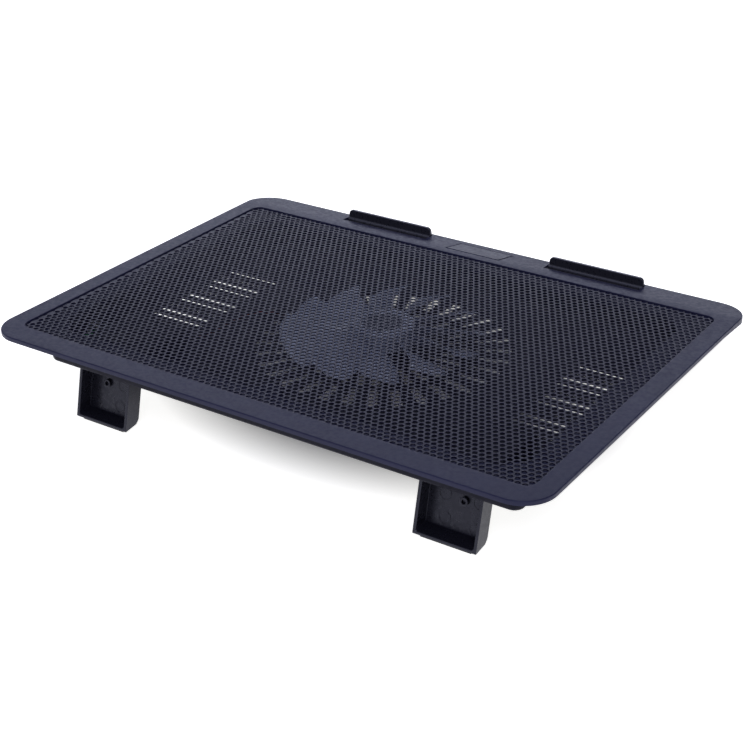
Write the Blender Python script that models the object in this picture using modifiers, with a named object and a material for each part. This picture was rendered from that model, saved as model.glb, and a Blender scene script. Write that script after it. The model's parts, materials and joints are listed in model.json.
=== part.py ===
"""Laptop cooling pad: a slim perforated platform with one large fan, two fold-out
rear legs and two flip-up front stops.  Metres, +Z up.  The user sits on the -Y side.

Everything that belongs to the platform is modelled flat, in millimetres, in the
platform's own frame: x across, y towards the rear (legs), z = 0 on the upper face
of the perforated sheet.  One empty then tilts the platform so that the pad stands
on z = 0 on its front feet and its two open legs.
"""
import math
import bpy
import bmesh
from mathutils import Matrix, Vector

MM = 0.001

# ---------------------------------------------------------------- driving dimensions (mm)
WIDTH = 350.0                 # across
Y_FRONT, Y_REAR = -131.0, 128.7
CORNER_R = 19.0
RIM_TOP = 0.8                 # rim stands this much above the perforated sheet
LIP_BOTTOM = -3.6             # lower edge of the frame's inner wall and front strip
SIDE_LIP = -2.0               # lower edge of the thin lip along the sides and the rear
RIM_UNDER = -1.6              # underside of the rim plate
LIP_T = 1.8
CREASE_Y = -112.0             # the front strip slopes down from this line
STRIP_DROP = 1.6

MESH_X, MESH_Y0, MESH_Y1, MESH_R = 163.3, -106.5, 113.5, 6.0
SHEET_T = 0.6
LEDGE_TOP = -0.9
OPEN_X, OPEN_Y0, OPEN_Y1 = 149.5, -97.0, 101.0
OPEN_CH = 12.0

CASE_X, CASE_Y0, CASE_Y1, CASE_R = 153.0, -112.0, 105.0, 6.0
CASE_TOP, CASE_BOTTOM = -3.9, -22.0
WALL, FLOOR_T = 2.2, 1.6
FLOOR_TOP = CASE_BOTTOM + FLOOR_T

FAN_Y = -10.5
SLOTS = 32
SLOT_RINGS = ((29.0, 50.2), (53.6, 74.0))
SLOT_ANGLE = 5.0
SIDE_SLOTS, SIDE_PITCH, SIDE_W = 11, 8.2, 3.4
SIDE_X0, SIDE_X1, SIDE_YC = 105.0, 143.0, -7.5

LEG_XI, LEG_XO = 94.9, 131.9  # inner and outer sides
LEG_T = 10.6
LEG_WALL = 1.8
LEG_LEAN = 13.0               # degrees past square to the platform, towards the rear
LEG_AXIS_Y, LEG_AXIS_Z = 94.9, -15.5
LEG_LEN = 37.6                # axis to the rear lower edge
LEG_FOLD = 103.0
PAD_T = 1.8
PIN_R = 1.5
POCKET_Y0, POCKET_Y1 = 54.5, 102.4
POCKET_TOP = -9.6
POCKET_GAP = 0.6

STOP_X, STOP_SHIFT, STOP_LEN = 74.0, -3.5, 62.5     # the pair sits a little off the middle, as photographed
STOP_AXIS_Y, STOP_AXIS_Z = -125.4, -1.7
STOP_BARREL_R = 1.75
STOP_T, STOP_H = 2.2, 6.6
STOP_POCKET_Y0, STOP_POCKET_Y1 = -128.1, -118.4
STOP_POCKET_Z = -2.1

FOOT_R, FOOT_BOTTOM, FOOT_SEAT = 6.0, -24.0, -21.2
FRONT_FOOT = (128.0, -99.5)
REAR_FOOT = (84.0, 92.0)

HUB_R, HUB_TOP, HUB_BOTTOM = 19.0, -5.0, -16.6
HUB_IN_R, HUB_IN_TOP = 17.3, -7.0
LABEL_R = 11.4
BLADES, BLADE_TIP_R, BLADE_T = 12, 60.0, 1.2

SCREWS = ((145.5, 97.0), (-145.5, 97.0), (145.5, -104.0), (-145.5, -104.0), (0.0, -103.0), (0.0, 97.5))
MOTOR_SCREW_R = 13.0
INLET_Y, INLET_Z = 70.0, -14.0

# ---------------------------------------------------------------- scene set-up
for _o in list(bpy.data.objects):
    bpy.data.objects.remove(_o, do_unlink=True)

PARTS = bpy.data.collections.new("laptop_cooling_pad")
CUTTERS = bpy.data.collections.new("cutters")
bpy.context.scene.collection.children.link(PARTS)
bpy.context.scene.collection.children.link(CUTTERS)


def material(name, colour, rough, metal=0.0):
    m = bpy.data.materials.new(name)
    m.use_nodes = True
    b = m.node_tree.nodes["Principled BSDF"]
    b.inputs["Base Color"].default_value = (*colour, 1.0)
    b.inputs["Roughness"].default_value = rough
    b.inputs["Metallic"].default_value = metal
    return m


def tilt_angle():
    """Tilt that puts the front feet and the leg pads on one level plane."""
    a = math.radians(LEG_LEAN)
    ry = LEG_AXIS_Y + LEG_T / 2 * math.cos(a) + LEG_LEN * math.sin(a)
    rz = LEG_AXIS_Z + LEG_T / 2 * math.sin(a) - LEG_LEN * math.cos(a)
    fy, fz = FRONT_FOOT[1] - FOOT_R, FOOT_BOTTOM
    t = 0.1
    for _ in range(40):
        t = math.asin(((fz - rz) * math.cos(t) + PAD_T) / (ry - fy))
    return t, -(fy * math.sin(t) + fz * math.cos(t))


TILT, LIFT = tilt_angle()
# the origin is under the middle of the tilted outline
FORWARD = -((Y_FRONT * math.cos(TILT) - (RIM_TOP - STRIP_DROP) * math.sin(TILT))
            + (Y_REAR * math.cos(TILT) - SIDE_LIP * math.sin(TILT))) / 2

FRAME = bpy.data.objects.new("platform_frame", None)
PARTS.objects.link(FRAME)
FRAME.rotation_euler = (TILT, 0.0, 0.0)
FRAME.location = (0.0, FORWARD * MM, LIFT * MM)


def pivot(name, x, y, z, turn=0.0, parent=FRAME):
    e = bpy.data.objects.new(name, None)
    PARTS.objects.link(e)
    e.parent = parent
    e.location = (x * MM, y * MM, z * MM)
    e.rotation_euler = (turn, 0.0, 0.0)
    return e


def add(name, me, parent=FRAME, mat=None, cutter=False):
    ob = bpy.data.objects.new(name, me)
    (CUTTERS if cutter else PARTS).objects.link(ob)
    ob.parent = parent
    if mat is not None:
        me.materials.append(mat)
    if cutter:
        ob.hide_render = True
        ob.display_type = 'WIRE'
    return ob


# ---------------------------------------------------------------- outlines
def rounded_rect(x0, x1, y0, y1, r, n=6):
    pts = []
    for cx, cy, a0 in ((x1 - r, y1 - r, 0), (x0 + r, y1 - r, 90), (x0 + r, y0 + r, 180), (x1 - r, y0 + r, 270)):
        for i in range(n + 1):
            a = math.radians(a0 + 90.0 * i / n)
            pts.append((cx + r * math.cos(a), cy + r * math.sin(a)))
    return pts


def chamfered_rect(x0, x1, y0, y1, c):
    return [(x1, y1 - c), (x1 - c, y1), (x0 + c, y1), (x0, y1 - c),
            (x0, y0 + c), (x0 + c, y0), (x1 - c, y0), (x1, y0 + c)]


def circle(cx, cy, r, n=16):
    return [(cx + r * math.cos(2 * math.pi * i / n), cy + r * math.sin(2 * math.pi * i / n)) for i in range(n)]


def ray_slot(r0, r1, mid, half):
    pts = []
    for r, a in ((r0, mid - half), (r1, mid - half), (r1, mid + half), (r0, mid + half)):
        pts.append((r * math.cos(math.radians(a)), FAN_Y + r * math.sin(math.radians(a))))
    return pts


# ---------------------------------------------------------------- builders
def prism_mesh(name, loops, z0, z1):
    """Flat outline (with holes) as a filled 2-D curve, turned into a closed mesh."""
    cu = bpy.data.curves.new(name, 'CURVE')
    cu.dimensions = '2D'
    cu.fill_mode = 'BOTH'
    cu.extrude = (z1 - z0) / 2 * MM
    for pts in loops:
        sp = cu.splines.new('POLY')
        sp.points.add(len(pts) - 1)
        for p, (x, y) in zip(sp.points, pts):
            p.co = (x * MM, y * MM, 0.0, 1.0)
        sp.use_cyclic_u = True
    tmp = bpy.data.objects.new(name, cu)
    bpy.context.scene.collection.objects.link(tmp)
    bpy.context.view_layer.update()
    me = bpy.data.meshes.new_from_object(tmp.evaluated_get(bpy.context.evaluated_depsgraph_get()))
    bpy.data.objects.remove(tmp, do_unlink=True)
    bpy.data.curves.remove(cu)
    bm = bmesh.new()
    bm.from_mesh(me)
    bmesh.ops.translate(bm, vec=(0, 0, (z0 + z1) / 2 * MM), verts=bm.verts)
    bmesh.ops.remove_doubles(bm, verts=bm.verts, dist=1e-6)
    bmesh.ops.recalc_face_normals(bm, faces=bm.faces)
    bm.to_mesh(me)
    bm.free()
    me.name = name
    return me


def prism(name, loops, z0, z1, **kw):
    return add(name, prism_mesh(name, loops, z0, z1), **kw)


def side_prism(name, loop_yz, x0, x1, **kw):
    """An outline in the y-z plane, extruded along x."""
    me = prism_mesh(name, [loop_yz], x0, x1)
    me.transform(Matrix(((0, 0, 1, 0), (1, 0, 0, 0), (0, 1, 0, 0), (0, 0, 0, 1))))
    return add(name, me, **kw)


def box(name, x0, x1, y0, y1, z0, z1, **kw):
    bm = bmesh.new()
    bmesh.ops.create_cube(bm, size=1.0, matrix=Matrix.Translation(Vector(((x0 + x1) / 2, (y0 + y1) / 2, (z0 + z1) / 2)) * MM)
                          @ Matrix.Diagonal((abs(x1 - x0) * MM, abs(y1 - y0) * MM, abs(z1 - z0) * MM, 1.0)))
    me = bpy.data.meshes.new(name)
    bm.to_mesh(me)
    bm.free()
    return add(name, me, **kw)


def rods(name, items, **kw):
    """Cylinders as closed bodies in one mesh: (centre, axis letter, radius, length, sides)."""
    bm = bmesh.new()
    for (x, y, z), axis, r, length, seg in items:
        rot = {'Z': Matrix.Identity(4), 'X': Matrix.Rotation(math.pi / 2, 4, 'Y'),
               'Y': Matrix.Rotation(math.pi / 2, 4, 'X')}[axis]
        bmesh.ops.create_cone(bm, cap_ends=True, cap_tris=False, segments=seg, radius1=r * MM, radius2=r * MM,
                              depth=length * MM, matrix=Matrix.Translation(Vector((x, y, z)) * MM) @ rot)
    me = bpy.data.meshes.new(name)
    bm.to_mesh(me)
    bm.free()
    return add(name, me, **kw)


def turned(name, profile, steps, closed=False, at=(0.0, 0.0, 0.0), **kw):
    """A turned shape: the profile (radius, z) runs down its outer side."""
    me = bpy.data.meshes.new(name)
    verts = [(r * MM, 0.0, z * MM) for r, z in profile]
    edges = [(i, i + 1) for i in range(len(verts) - 1)]
    if closed:
        edges.append((len(verts) - 1, 0))
    me.from_pydata(verts, edges, [])
    ob = add(name, me, **kw)
    ob.location = Vector(at) * MM
    s = ob.modifiers.new("turn", 'SCREW')
    s.axis = 'Z'
    s.steps = s.render_steps = steps
    s.use_merge_vertices = True
    s.merge_threshold = 0.00001
    return ob


def cut(ob, cutter, op='DIFFERENCE'):
    m = ob.modifiers.new(op.lower(), 'BOOLEAN')
    m.operation = op
    m.solver = 'EXACT'
    m.object = cutter
    return ob


def bevel(ob, width, segments=2, angle=40.0):
    b = ob.modifiers.new("bevel", 'BEVEL')
    b.width = width * MM
    b.segments = segments
    b.limit_method = 'ANGLE'
    b.angle_limit = math.radians(angle)
    return b


def bevel_edges(me, width, segments, test):
    """Round the edges of a plain mesh whose two ends both pass the test."""
    bm = bmesh.new()
    bm.from_mesh(me)
    ed = [e for e in bm.edges if all(test(v.co / MM) for v in e.verts) and len(e.link_faces) == 2
          and e.calc_face_angle(0.0) > math.radians(40)]
    bmesh.ops.bevel(bm, geom=ed, offset=width * MM, segments=segments, profile=0.5, affect='EDGES')
    bmesh.ops.recalc_face_normals(bm, faces=bm.faces)
    bm.to_mesh(me)
    bm.free()


# ---------------------------------------------------------------- materials
M_FRAME = material("frame_plastic", (0.050, 0.053, 0.085), 0.42)
M_MESH = material("sheet_steel", (0.020, 0.021, 0.028), 0.45, 0.6)
M_CASE = material("casing_plastic", (0.030, 0.031, 0.045), 0.5)
M_LEG = material("leg_plastic", (0.020, 0.021, 0.030), 0.45)
M_STOP = material("stop_plastic", (0.012, 0.012, 0.016), 0.28)
M_RUBBER = material("rubber", (0.015, 0.015, 0.017), 0.85)
M_BADGE = material("badge_plastic", (0.018, 0.018, 0.026), 0.3)
M_FAN = material("fan_plastic", (0.30, 0.36, 0.47), 0.25)
M_LABEL = material("label_film", (0.10, 0.11, 0.16), 0.4)
M_STEEL = material("steel", (0.55, 0.55, 0.56), 0.3, 1.0)
M_BRONZE = material("bronze", (0.45, 0.30, 0.14), 0.45, 1.0)
M_CORE = material("core_steel", (0.25, 0.25, 0.26), 0.5, 1.0)
M_COPPER = material("copper_wire", (0.60, 0.25, 0.12), 0.35, 1.0)
M_BOARD = material("circuit_board", (0.02, 0.11, 0.05), 0.45)
M_MAGNET = material("ferrite", (0.06, 0.06, 0.065), 0.7)
M_WIRE = material("wire_sleeve", (0.012, 0.012, 0.013), 0.5)

# ---------------------------------------------------------------- top frame
frame_me = prism_mesh("top_frame", [rounded_rect(-WIDTH / 2, WIDTH / 2, Y_FRONT, Y_REAR, CORNER_R, 8)], LIP_BOTTOM, RIM_TOP)
bevel_edges(frame_me, 1.2, 2, lambda c: c.z > RIM_TOP - 0.01)
top_frame = add("top_frame", frame_me, mat=M_FRAME)

cut(top_frame, prism("cut_sheet_recess", [rounded_rect(-MESH_X, MESH_X, MESH_Y0, MESH_Y1, MESH_R)],
                     LEDGE_TOP, 5.0, cutter=True))
opening = chamfered_rect(-OPEN_X, OPEN_X, OPEN_Y0, OPEN_Y1, OPEN_CH)
opening[2:2] = [(7.0, OPEN_Y1), (7.0, 92.5), (-7.0, 92.5), (-7.0, OPEN_Y1)]     # tab for the rear middle screw
cut(top_frame, prism("cut_opening", [opening],
                     -12.0, 4.0, cutter=True))
cut(top_frame, prism("cut_underside", [
    rounded_rect(-WIDTH / 2 + LIP_T, WIDTH / 2 - LIP_T, -113.5, Y_REAR - LIP_T, 6.0),
    rounded_rect(-MESH_X - 3.5, MESH_X + 3.5, -110.0, MESH_Y1 + 3.5, 9.0)], -12.0, RIM_UNDER, cutter=True))
cut(top_frame, prism("cut_front_underside", [rounded_rect(x0, x1, -127.0, -115.5, 1.5, 3) for x0, x1 in
                                             ((-158.0, -114.5), (-41.0, 34.0), (108.0, 158.0))], -12.0, -2.5, cutter=True))

for x0, x1, y0, y1 in ((-180.0, -170.5, -112.5, 135.0), (170.5, 180.0, -112.5, 135.0), (-178.0, 178.0, 123.6, 136.0)):
    cut(top_frame, box("cut_side_lip", x0, x1, y0, y1, -12.0, SIDE_LIP, cutter=True))

# the front strip: a wedge is planed off so that it slopes down to the front edge
slope = math.atan2(STRIP_DROP, CREASE_Y - Y_FRONT)
strip_z = lambda y: RIM_TOP + (y - CREASE_Y) * math.tan(slope)
wedge = side_prism("cut_front_slope", [(CREASE_Y + 5.0, strip_z(CREASE_Y + 5.0)), (CREASE_Y + 5.0, 6.0),
                                       (Y_FRONT - 8.0, 6.0), (Y_FRONT - 8.0, strip_z(Y_FRONT - 8.0))],
                   -200.0, 200.0, cutter=True)
cut(top_frame, wedge)

# six hollow screw posts under the ledge
cut(top_frame, rods("add_screw_posts", [((x, y, -7.35), 'Z', 3.2, 9.3, 16) for x, y in SCREWS], cutter=True), 'UNION')
cut(top_frame, rods("cut_pilots", [((x, y, -8.9), 'Z', 1.6, 7.0, 12) for x, y in SCREWS], cutter=True))

# pockets and axle holes for the two flip-up stops, and the seat of the name plate
for side, sx in (("left", -1), ("right", 1)):
    cx = sx * STOP_X + STOP_SHIFT
    hl = STOP_LEN / 2 + 0.4
    yb = STOP_AXIS_Y + STOP_BARREL_R + 0.4
    cut(top_frame, side_prism("cut_stop_pocket_" + side, [(STOP_POCKET_Y0, 5.0), (STOP_POCKET_Y0, LIP_BOTTOM - 2.0), (yb, LIP_BOTTOM - 2.0),
                                                          (yb, STOP_POCKET_Z), (STOP_POCKET_Y1, STOP_POCKET_Z), (STOP_POCKET_Y1, 5.0)],
                              cx - hl, cx + hl, cutter=True))
    cut(top_frame, rods("cut_stop_axle_" + side, [((cx + e * (hl + 0.8), STOP_AXIS_Y, STOP_AXIS_Z), 'X', 1.0, 3.4, 12) for e in (-1, 1)], cutter=True))


def on_strip(me):
    """Lay a flat piece, modelled about the crease line, onto the sloping front strip."""
    me.transform(Matrix.Translation(Vector((0, CREASE_Y, RIM_TOP)) * MM) @ Matrix.Rotation(slope, 4, 'X'))


BADGE = [(19.4, -1.0), (-17.1, -1.0), (-20.5, -13.4), (15.9, -13.4)]
badge_seat = prism_mesh("cut_badge_seat", [[(x * 1.0 + (0.3 if x > 0 else -0.3), y + (0.3 if y > -5 else -0.3)) for x, y in BADGE]], -0.9, 3.0)
on_strip(badge_seat)
cut(top_frame, add("cut_badge_seat", badge_seat, cutter=True))
badge_me = prism_mesh("name_plate", [BADGE], -0.6, 0.15)
on_strip(badge_me)
name_plate = add("name_plate", badge_me, mat=M_BADGE)

# ---------------------------------------------------------------- perforated sheet
prism("mesh_panel", [rounded_rect(-MESH_X + 0.3, MESH_X - 0.3, MESH_Y0 + 0.3, MESH_Y1 - 0.3, MESH_R - 0.3)],
      -SHEET_T, 0.0, mat=M_MESH)

# ---------------------------------------------------------------- bottom shell
shell_me = prism_mesh("bottom_shell", [rounded_rect(-CASE_X, CASE_X, CASE_Y0, CASE_Y1, CASE_R, 5)], CASE_BOTTOM, CASE_TOP)
bevel_edges(shell_me, 2.0, 2, lambda c: c.z < CASE_BOTTOM + 0.01)
bottom_shell = add("bottom_shell", shell_me, mat=M_CASE)
cut(bottom_shell, prism("cut_shell_inside", [rounded_rect(-CASE_X + WALL, CASE_X - WALL, CASE_Y0 + WALL, CASE_Y1 - WALL, CASE_R - WALL, 5)],
                        FLOOR_TOP, 2.0, cutter=True))
for side, sx in (("left", -1), ("right", 1)):
    xa, xb = sorted((sx * (LEG_XI - POCKET_GAP), sx * (LEG_XO + POCKET_GAP)))
    cut(bottom_shell, box("add_leg_pocket_" + side, xa - 1.8, xb + 1.8, POCKET_Y0 - 1.8, CASE_Y1 - 1.0,
                          CASE_BOTTOM + 0.5, POCKET_TOP + 1.8, cutter=True), 'UNION')
    cut(bottom_shell, box("cut_leg_pocket_" + side, xa, xb, POCKET_Y0, POCKET_Y1, CASE_BOTTOM - 3.0, POCKET_TOP, cutter=True))
    cut(bottom_shell, rods("cut_leg_pin_" + side, [(((xa + xb) / 2, LEG_AXIS_Y, LEG_AXIS_Z), 'X', PIN_R + 0.3, xb - xa + 8.0, 16)], cutter=True))

posts = [((x, y, -16.4), 'Z', 4.4, 8.2, 16) for x, y in SCREWS]
posts += [((141.0, 64.5, -19.2), 'Z', 1.5, 2.6, 10), ((141.0, 75.5, -19.2), 'Z', 1.5, 2.6, 10)]
posts += [((0.0, FAN_Y, -20.5), 'Z', 17.0, 1.0, 48)]                      # raised seat under the motor
cut(bottom_shell, rods("add_shell_posts", posts, cutter=True), 'UNION')
holes = [((x, y, -16.0), 'Z', 1.6, 16.0, 12) for x, y in SCREWS]
holes += [((MOTOR_SCREW_R * math.cos(a), FAN_Y + MOTOR_SCREW_R * math.sin(a), -21.0), 'Z', 1.4, 6.0, 10)
          for a in (math.radians(90), math.radians(210), math.radians(330))]
cut(bottom_shell, rods("cut_screw_holes", holes, cutter=True))
heads = [((x, y, -21.3), 'Z', 3.1, 8.0, 16) for x, y in SCREWS]
heads += [((MOTOR_SCREW_R * math.cos(a), FAN_Y + MOTOR_SCREW_R * math.sin(a), -22.4), 'Z', 2.4, 2.8, 12)
          for a in (math.radians(90), math.radians(210), math.radians(330))]
cut(bottom_shell, rods("cut_screw_heads", heads, cutter=True))
feet = [(sx * fx, fy) for fx, fy in (FRONT_FOOT, REAR_FOOT) for sx in (1, -1)]
cut(bottom_shell, rods("cut_foot_seats", [((x, y, FOOT_SEAT - 2.7), 'Z', FOOT_R + 0.3, 6.0, 24) for x, y in feet], cutter=True))

rays = []
for r0, r1 in SLOT_RINGS:
    for i in range(SLOTS):
        rays.append(ray_slot(r0, r1, (i + 0.5) * 360.0 / SLOTS, SLOT_ANGLE / 2 * (1.25 if r1 < 52 else 1.0)))
for sx in (1, -1):
    for i in range(SIDE_SLOTS):
        y = SIDE_YC + (i - (SIDE_SLOTS - 1) / 2) * SIDE_PITCH
        xa, xb = sorted((sx * SIDE_X0, sx * SIDE_X1))
        rays.append(rounded_rect(xa, xb, y - SIDE_W / 2, y + SIDE_W / 2, SIDE_W / 2 - 0.1, 2))
cut(bottom_shell, prism("cut_vents", rays, CASE_BOTTOM - 2.0, FLOOR_TOP + 1.0, cutter=True))
cut(bottom_shell, box("cut_inlet_window", 148.0, 156.0, INLET_Y - 4.5, INLET_Y + 4.5, INLET_Z - 2.7, INLET_Z + 2.7, cutter=True))

# ---------------------------------------------------------------- rubber feet
for nm, (fx, fy) in (("front_foot", FRONT_FOOT), ("rear_foot", REAR_FOOT)):
    for side, sx in (("left", -1), ("right", 1)):
        turned("%s_%s" % (nm, side), [(0.0, FOOT_SEAT - 0.0), (FOOT_R, FOOT_SEAT), (FOOT_R, FOOT_BOTTOM + 0.01), (FOOT_R - 0.01, FOOT_BOTTOM), (0.0, FOOT_BOTTOM)],
               24, at=(sx * fx, fy, 0.0), mat=M_RUBBER)

# ---------------------------------------------------------------- legs
lean = math.radians(LEG_LEAN)
half = LEG_T / 2
# in the leg's own frame: origin on the hinge axis, -z down the leg, +y its open rear side
cut_drop = LEG_T * math.tan(lean + TILT)          # the sole is level when the pad stands
sole_z = lambda y: -LEG_LEN + (half - y) * math.tan(lean + TILT)
for side, sx in (("left", -1), ("right", 1)):
    piv = pivot("leg_hinge_" + side, 0.0, LEG_AXIS_Y, LEG_AXIS_Z, lean)
    xa, xb = sorted((sx * LEG_XI, sx * LEG_XO))
    arc = [(half * math.cos(math.radians(a)), half * math.sin(math.radians(a))) for a in range(0, 181, 18)]
    outline = arc + [(-half, sole_z(-half) + 2.2), (-half + 1.6, sole_z(-half + 1.6)), (half, -LEG_LEN)]
    leg = side_prism("leg_" + side, outline, xa, xb, parent=piv, mat=M_LEG)
    inner_floor = lambda y: sole_z(y) + LEG_WALL / math.cos(lean + TILT)
    tray = [(-half + LEG_WALL, -half - 0.9), (half + 3.0, -half - 0.9), (half + 3.0, inner_floor(half + 3.0)),
            (-half + LEG_WALL + 1.2, inner_floor(-half + LEG_WALL + 1.2)), (-half + LEG_WALL, inner_floor(-half + LEG_WALL) + 1.6)]
    cut(leg, side_prism("cut_leg_tray_" + side, tray, xa + LEG_WALL, xb - LEG_WALL, parent=piv, cutter=True))
    cut(leg, rods("cut_leg_bore_" + side, [(((xa + xb) / 2, 0, 0), 'X', PIN_R + 0.3, xb - xa + 6.0, 16)], parent=piv, cutter=True))
    # sole pad: a level strip under the sole, 0.3 mm clear of it
    t = lean + TILT
    o = lambda y, d: (y - d * math.sin(t), sole_z(y) - d * math.cos(t))
    y0, y1 = -half + 2.4, half - 1.6
    side_prism("leg_pad_" + side, [o(y1, 0.3), o(y0, 0.3), o(y0, PAD_T), o(y1, PAD_T)], xa + 3.6, xb - 3.6, parent=piv, mat=M_RUBBER)
    rods("leg_pin_" + side, [(((xa + xb) / 2, LEG_AXIS_Y, LEG_AXIS_Z), 'X', PIN_R, xb - xa + 3.8, 16)], mat=M_STEEL)

# ---------------------------------------------------------------- flip-up stops
for side, sx in (("left", -1), ("right", 1)):
    piv = pivot("stop_hinge_" + side, sx * STOP_X + STOP_SHIFT, STOP_AXIS_Y, STOP_AXIS_Z)
    hl, r = STOP_LEN / 2, 2.6
    # flap outline seen from the laptop side, square at the barrel and round at its upper corners
    flap = [(hl, 0.0)]
    flap += [(hl - r + r * math.cos(math.radians(a)), STOP_H - r + r * math.sin(math.radians(a))) for a in range(0, 91, 15)]
    flap += [(-hl + r + r * math.cos(math.radians(a)), STOP_H - r + r * math.sin(math.radians(a))) for a in range(90, 181, 15)]
    flap += [(-hl, 0.0)]
    me = prism_mesh("stop_" + side, [flap], 0.0, STOP_T)
    # outline x -> x, outline y -> z, thickness -> towards the front
    me.transform(Matrix(((1, 0, 0, 0), (0, 0, -1, 0), (0, 1, 0, 0), (0, 0, 0, 1))))
    bm = bmesh.new()
    bm.from_mesh(me)
    bmesh.ops.recalc_face_normals(bm, faces=bm.faces)
    bm.to_mesh(me)
    bm.free()
    stop = add("stop_" + side, me, parent=piv, mat=M_STOP)
    cut(stop, rods("add_stop_barrel_" + side, [((0, 0, 0), 'X', STOP_BARREL_R, STOP_LEN - 0.2, 16)], parent=piv, cutter=True), 'UNION')
    cut(stop, rods("add_stop_axle_" + side, [((0, 0, 0), 'X', 0.7, STOP_LEN + 3.6, 12)], parent=piv, cutter=True), 'UNION')

# ---------------------------------------------------------------- fan motor
fan_at = (0.0, FAN_Y, 0.0)
motor_base = turned("motor_base", [(5.6, -8.3), (5.6, -17.9), (17.6, -17.9), (17.6, -19.7), (3.4, -19.7), (3.4, -18.6), (4.0, -18.4), (4.0, -8.3)],
                    32, closed=True, at=fan_at, mat=M_CASE)
cut(motor_base, rods("cut_motor_pilots", [((MOTOR_SCREW_R * math.cos(a), FAN_Y + MOTOR_SCREW_R * math.sin(a), -19.6), 'Z', 1.3, 6.0, 10)
                                          for a in (math.radians(90), math.radians(210), math.radians(330))], cutter=True))
turned("bearing", [(3.7, -8.5), (3.7, -17.6), (1.6, -17.6), (1.6, -8.5)], 24, closed=True, at=fan_at, mat=M_BRONZE)
turned("fan_shaft", [(0.0, -7.7), (1.0, -7.7), (1.3, -8.0), (1.3, -18.6), (0.0, -18.6)], 20, at=fan_at, mat=M_STEEL)
turned("thrust_cap", [(0.0, -18.9), (3.1, -18.9), (3.1, -19.7), (0.0, -19.7)], 20, at=fan_at, mat=M_RUBBER)
turned("motor_board", [(15.6, -16.0), (15.6, -17.0), (6.0, -17.0), (6.0, -16.0)], 32, closed=True, at=fan_at, mat=M_BOARD)

core_loop = []
for k in range(4):
    c = math.radians(45 + 90 * k)
    for a, r in ((-30.0, 7.6), (-14.0, 7.6), (-11.0, 11.6), (-34.0, 11.9), (-34.0, 14.2), (-17.0, 14.6), (0.0, 14.7),
                 (17.0, 14.6), (34.0, 14.2), (34.0, 11.9), (11.0, 11.6), (14.0, 7.6), (30.0, 7.6)):
        core_loop.append((r * math.cos(c + math.radians(a)), FAN_Y + r * math.sin(c + math.radians(a))))
prism("stator_core", [core_loop, circle(0.0, FAN_Y, 6.0, 24)], -14.2, -9.6, mat=M_CORE)
for k in range(4):
    coil_me = prism_mesh("stator_coil_%d" % (k + 1), [rounded_rect(-3.4, 3.4, -3.9, 3.9, 1.4, 3), rounded_rect(-2.6, 2.6, -2.75, 2.75, 0.3, 1)], -1.0, 1.0)
    coil_me.transform(Matrix.Translation(fan_at[1] * MM * Vector((0, 1, 0)) + Vector((0, 0, -11.9 * MM))) @ Matrix.Rotation(math.radians(45 + 90 * k), 4, 'Z')
                      @ Matrix.Translation((9.45 * MM, 0, 0)) @ Matrix.Rotation(math.pi / 2, 4, 'Y'))
    add("stator_coil_%d" % (k + 1), coil_me, mat=M_COPPER)
for k, a in enumerate((90, 210, 330)):
    a = math.radians(a)
    turned("motor_screw_%d" % (k + 1), [(0.0, -18.4), (1.0, -18.4), (1.0, -21.4), (2.0, -21.4), (1.7, -22.0), (0.0, -22.0)], 12,
           at=(MOTOR_SCREW_R * math.cos(a), FAN_Y + MOTOR_SCREW_R * math.sin(a), 0.0), mat=M_STEEL)

# ---------------------------------------------------------------- fan rotor
rotor_pivot = pivot("fan_axis", 0.0, FAN_Y, 0.0)
rotor = turned("fan_rotor", [(0.0, HUB_TOP - 0.9), (LABEL_R + 0.5, HUB_TOP - 0.9), (LABEL_R + 0.9, HUB_TOP), (HUB_R - 1.6, HUB_TOP), (HUB_R - 0.4, HUB_TOP - 0.5),
                             (HUB_R, HUB_TOP - 1.6), (HUB_R, HUB_BOTTOM), (HUB_IN_R, HUB_BOTTOM), (HUB_IN_R, HUB_IN_TOP),
                             (3.4, HUB_IN_TOP), (3.4, HUB_IN_TOP - 0.9), (1.6, HUB_IN_TOP - 0.9), (1.6, HUB_TOP - 2.3), (0.0, HUB_TOP - 2.3)],
               44, parent=rotor_pivot, mat=M_FAN)


def blade_point(t, s, k):
    """t runs from root to tip, s across the chord from leading to trailing edge."""
    r = 18.3 + (BLADE_TIP_R - 18.3) * t
    lead = 360.0 / BLADES * k + 82.0 - 5.0 * t + 3.0 * math.sin(math.pi * t)
    a = math.radians(lead + s * (19.0 + 5.0 * t))
    drop = (10.6 - 2.2 * t) * (s ** 0.9)
    return (r * math.cos(a), r * math.sin(a), -6.4 - 0.5 * t - drop)


NR, NC = 6, 3
bv, bf = [], []
for k in range(BLADES):
    base = len(bv)
    for i in range(NR + 1):
        for j in range(NC + 1):
            t, s = i / NR, j / NC
            if i == NR:
                t -= 0.05 * abs(2 * s - 1) ** 2
            x, y, z = blade_point(t, s, k)
            bv.append((x * MM, y * MM, z * MM))
    for i in range(NR):
        for j in range(NC):
            a = base + i * (NC + 1) + j
            bf.append((a, a + NC + 1, a + NC + 2, a + 1))
blade_me = bpy.data.meshes.new("fan_blades")
blade_me.from_pydata(bv, [], bf)
blades = add("add_fan_blades", blade_me, parent=rotor_pivot, cutter=True)
sol = blades.modifiers.new("solid", 'SOLIDIFY')
sol.thickness = BLADE_T * MM
sol.offset = 0.0
cut(rotor, blades, 'UNION')

turned("hub_label", [(0.0, HUB_TOP - 0.35), (LABEL_R, HUB_TOP - 0.35), (LABEL_R, HUB_TOP - 0.6), (0.0, HUB_TOP - 0.6)], 36, parent=rotor_pivot, mat=M_LABEL)
turned("rotor_magnet", [(17.0, -8.0), (17.0, -15.8), (15.2, -15.8), (15.2, -8.0)], 36, closed=True, parent=rotor_pivot, mat=M_MAGNET)

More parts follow.
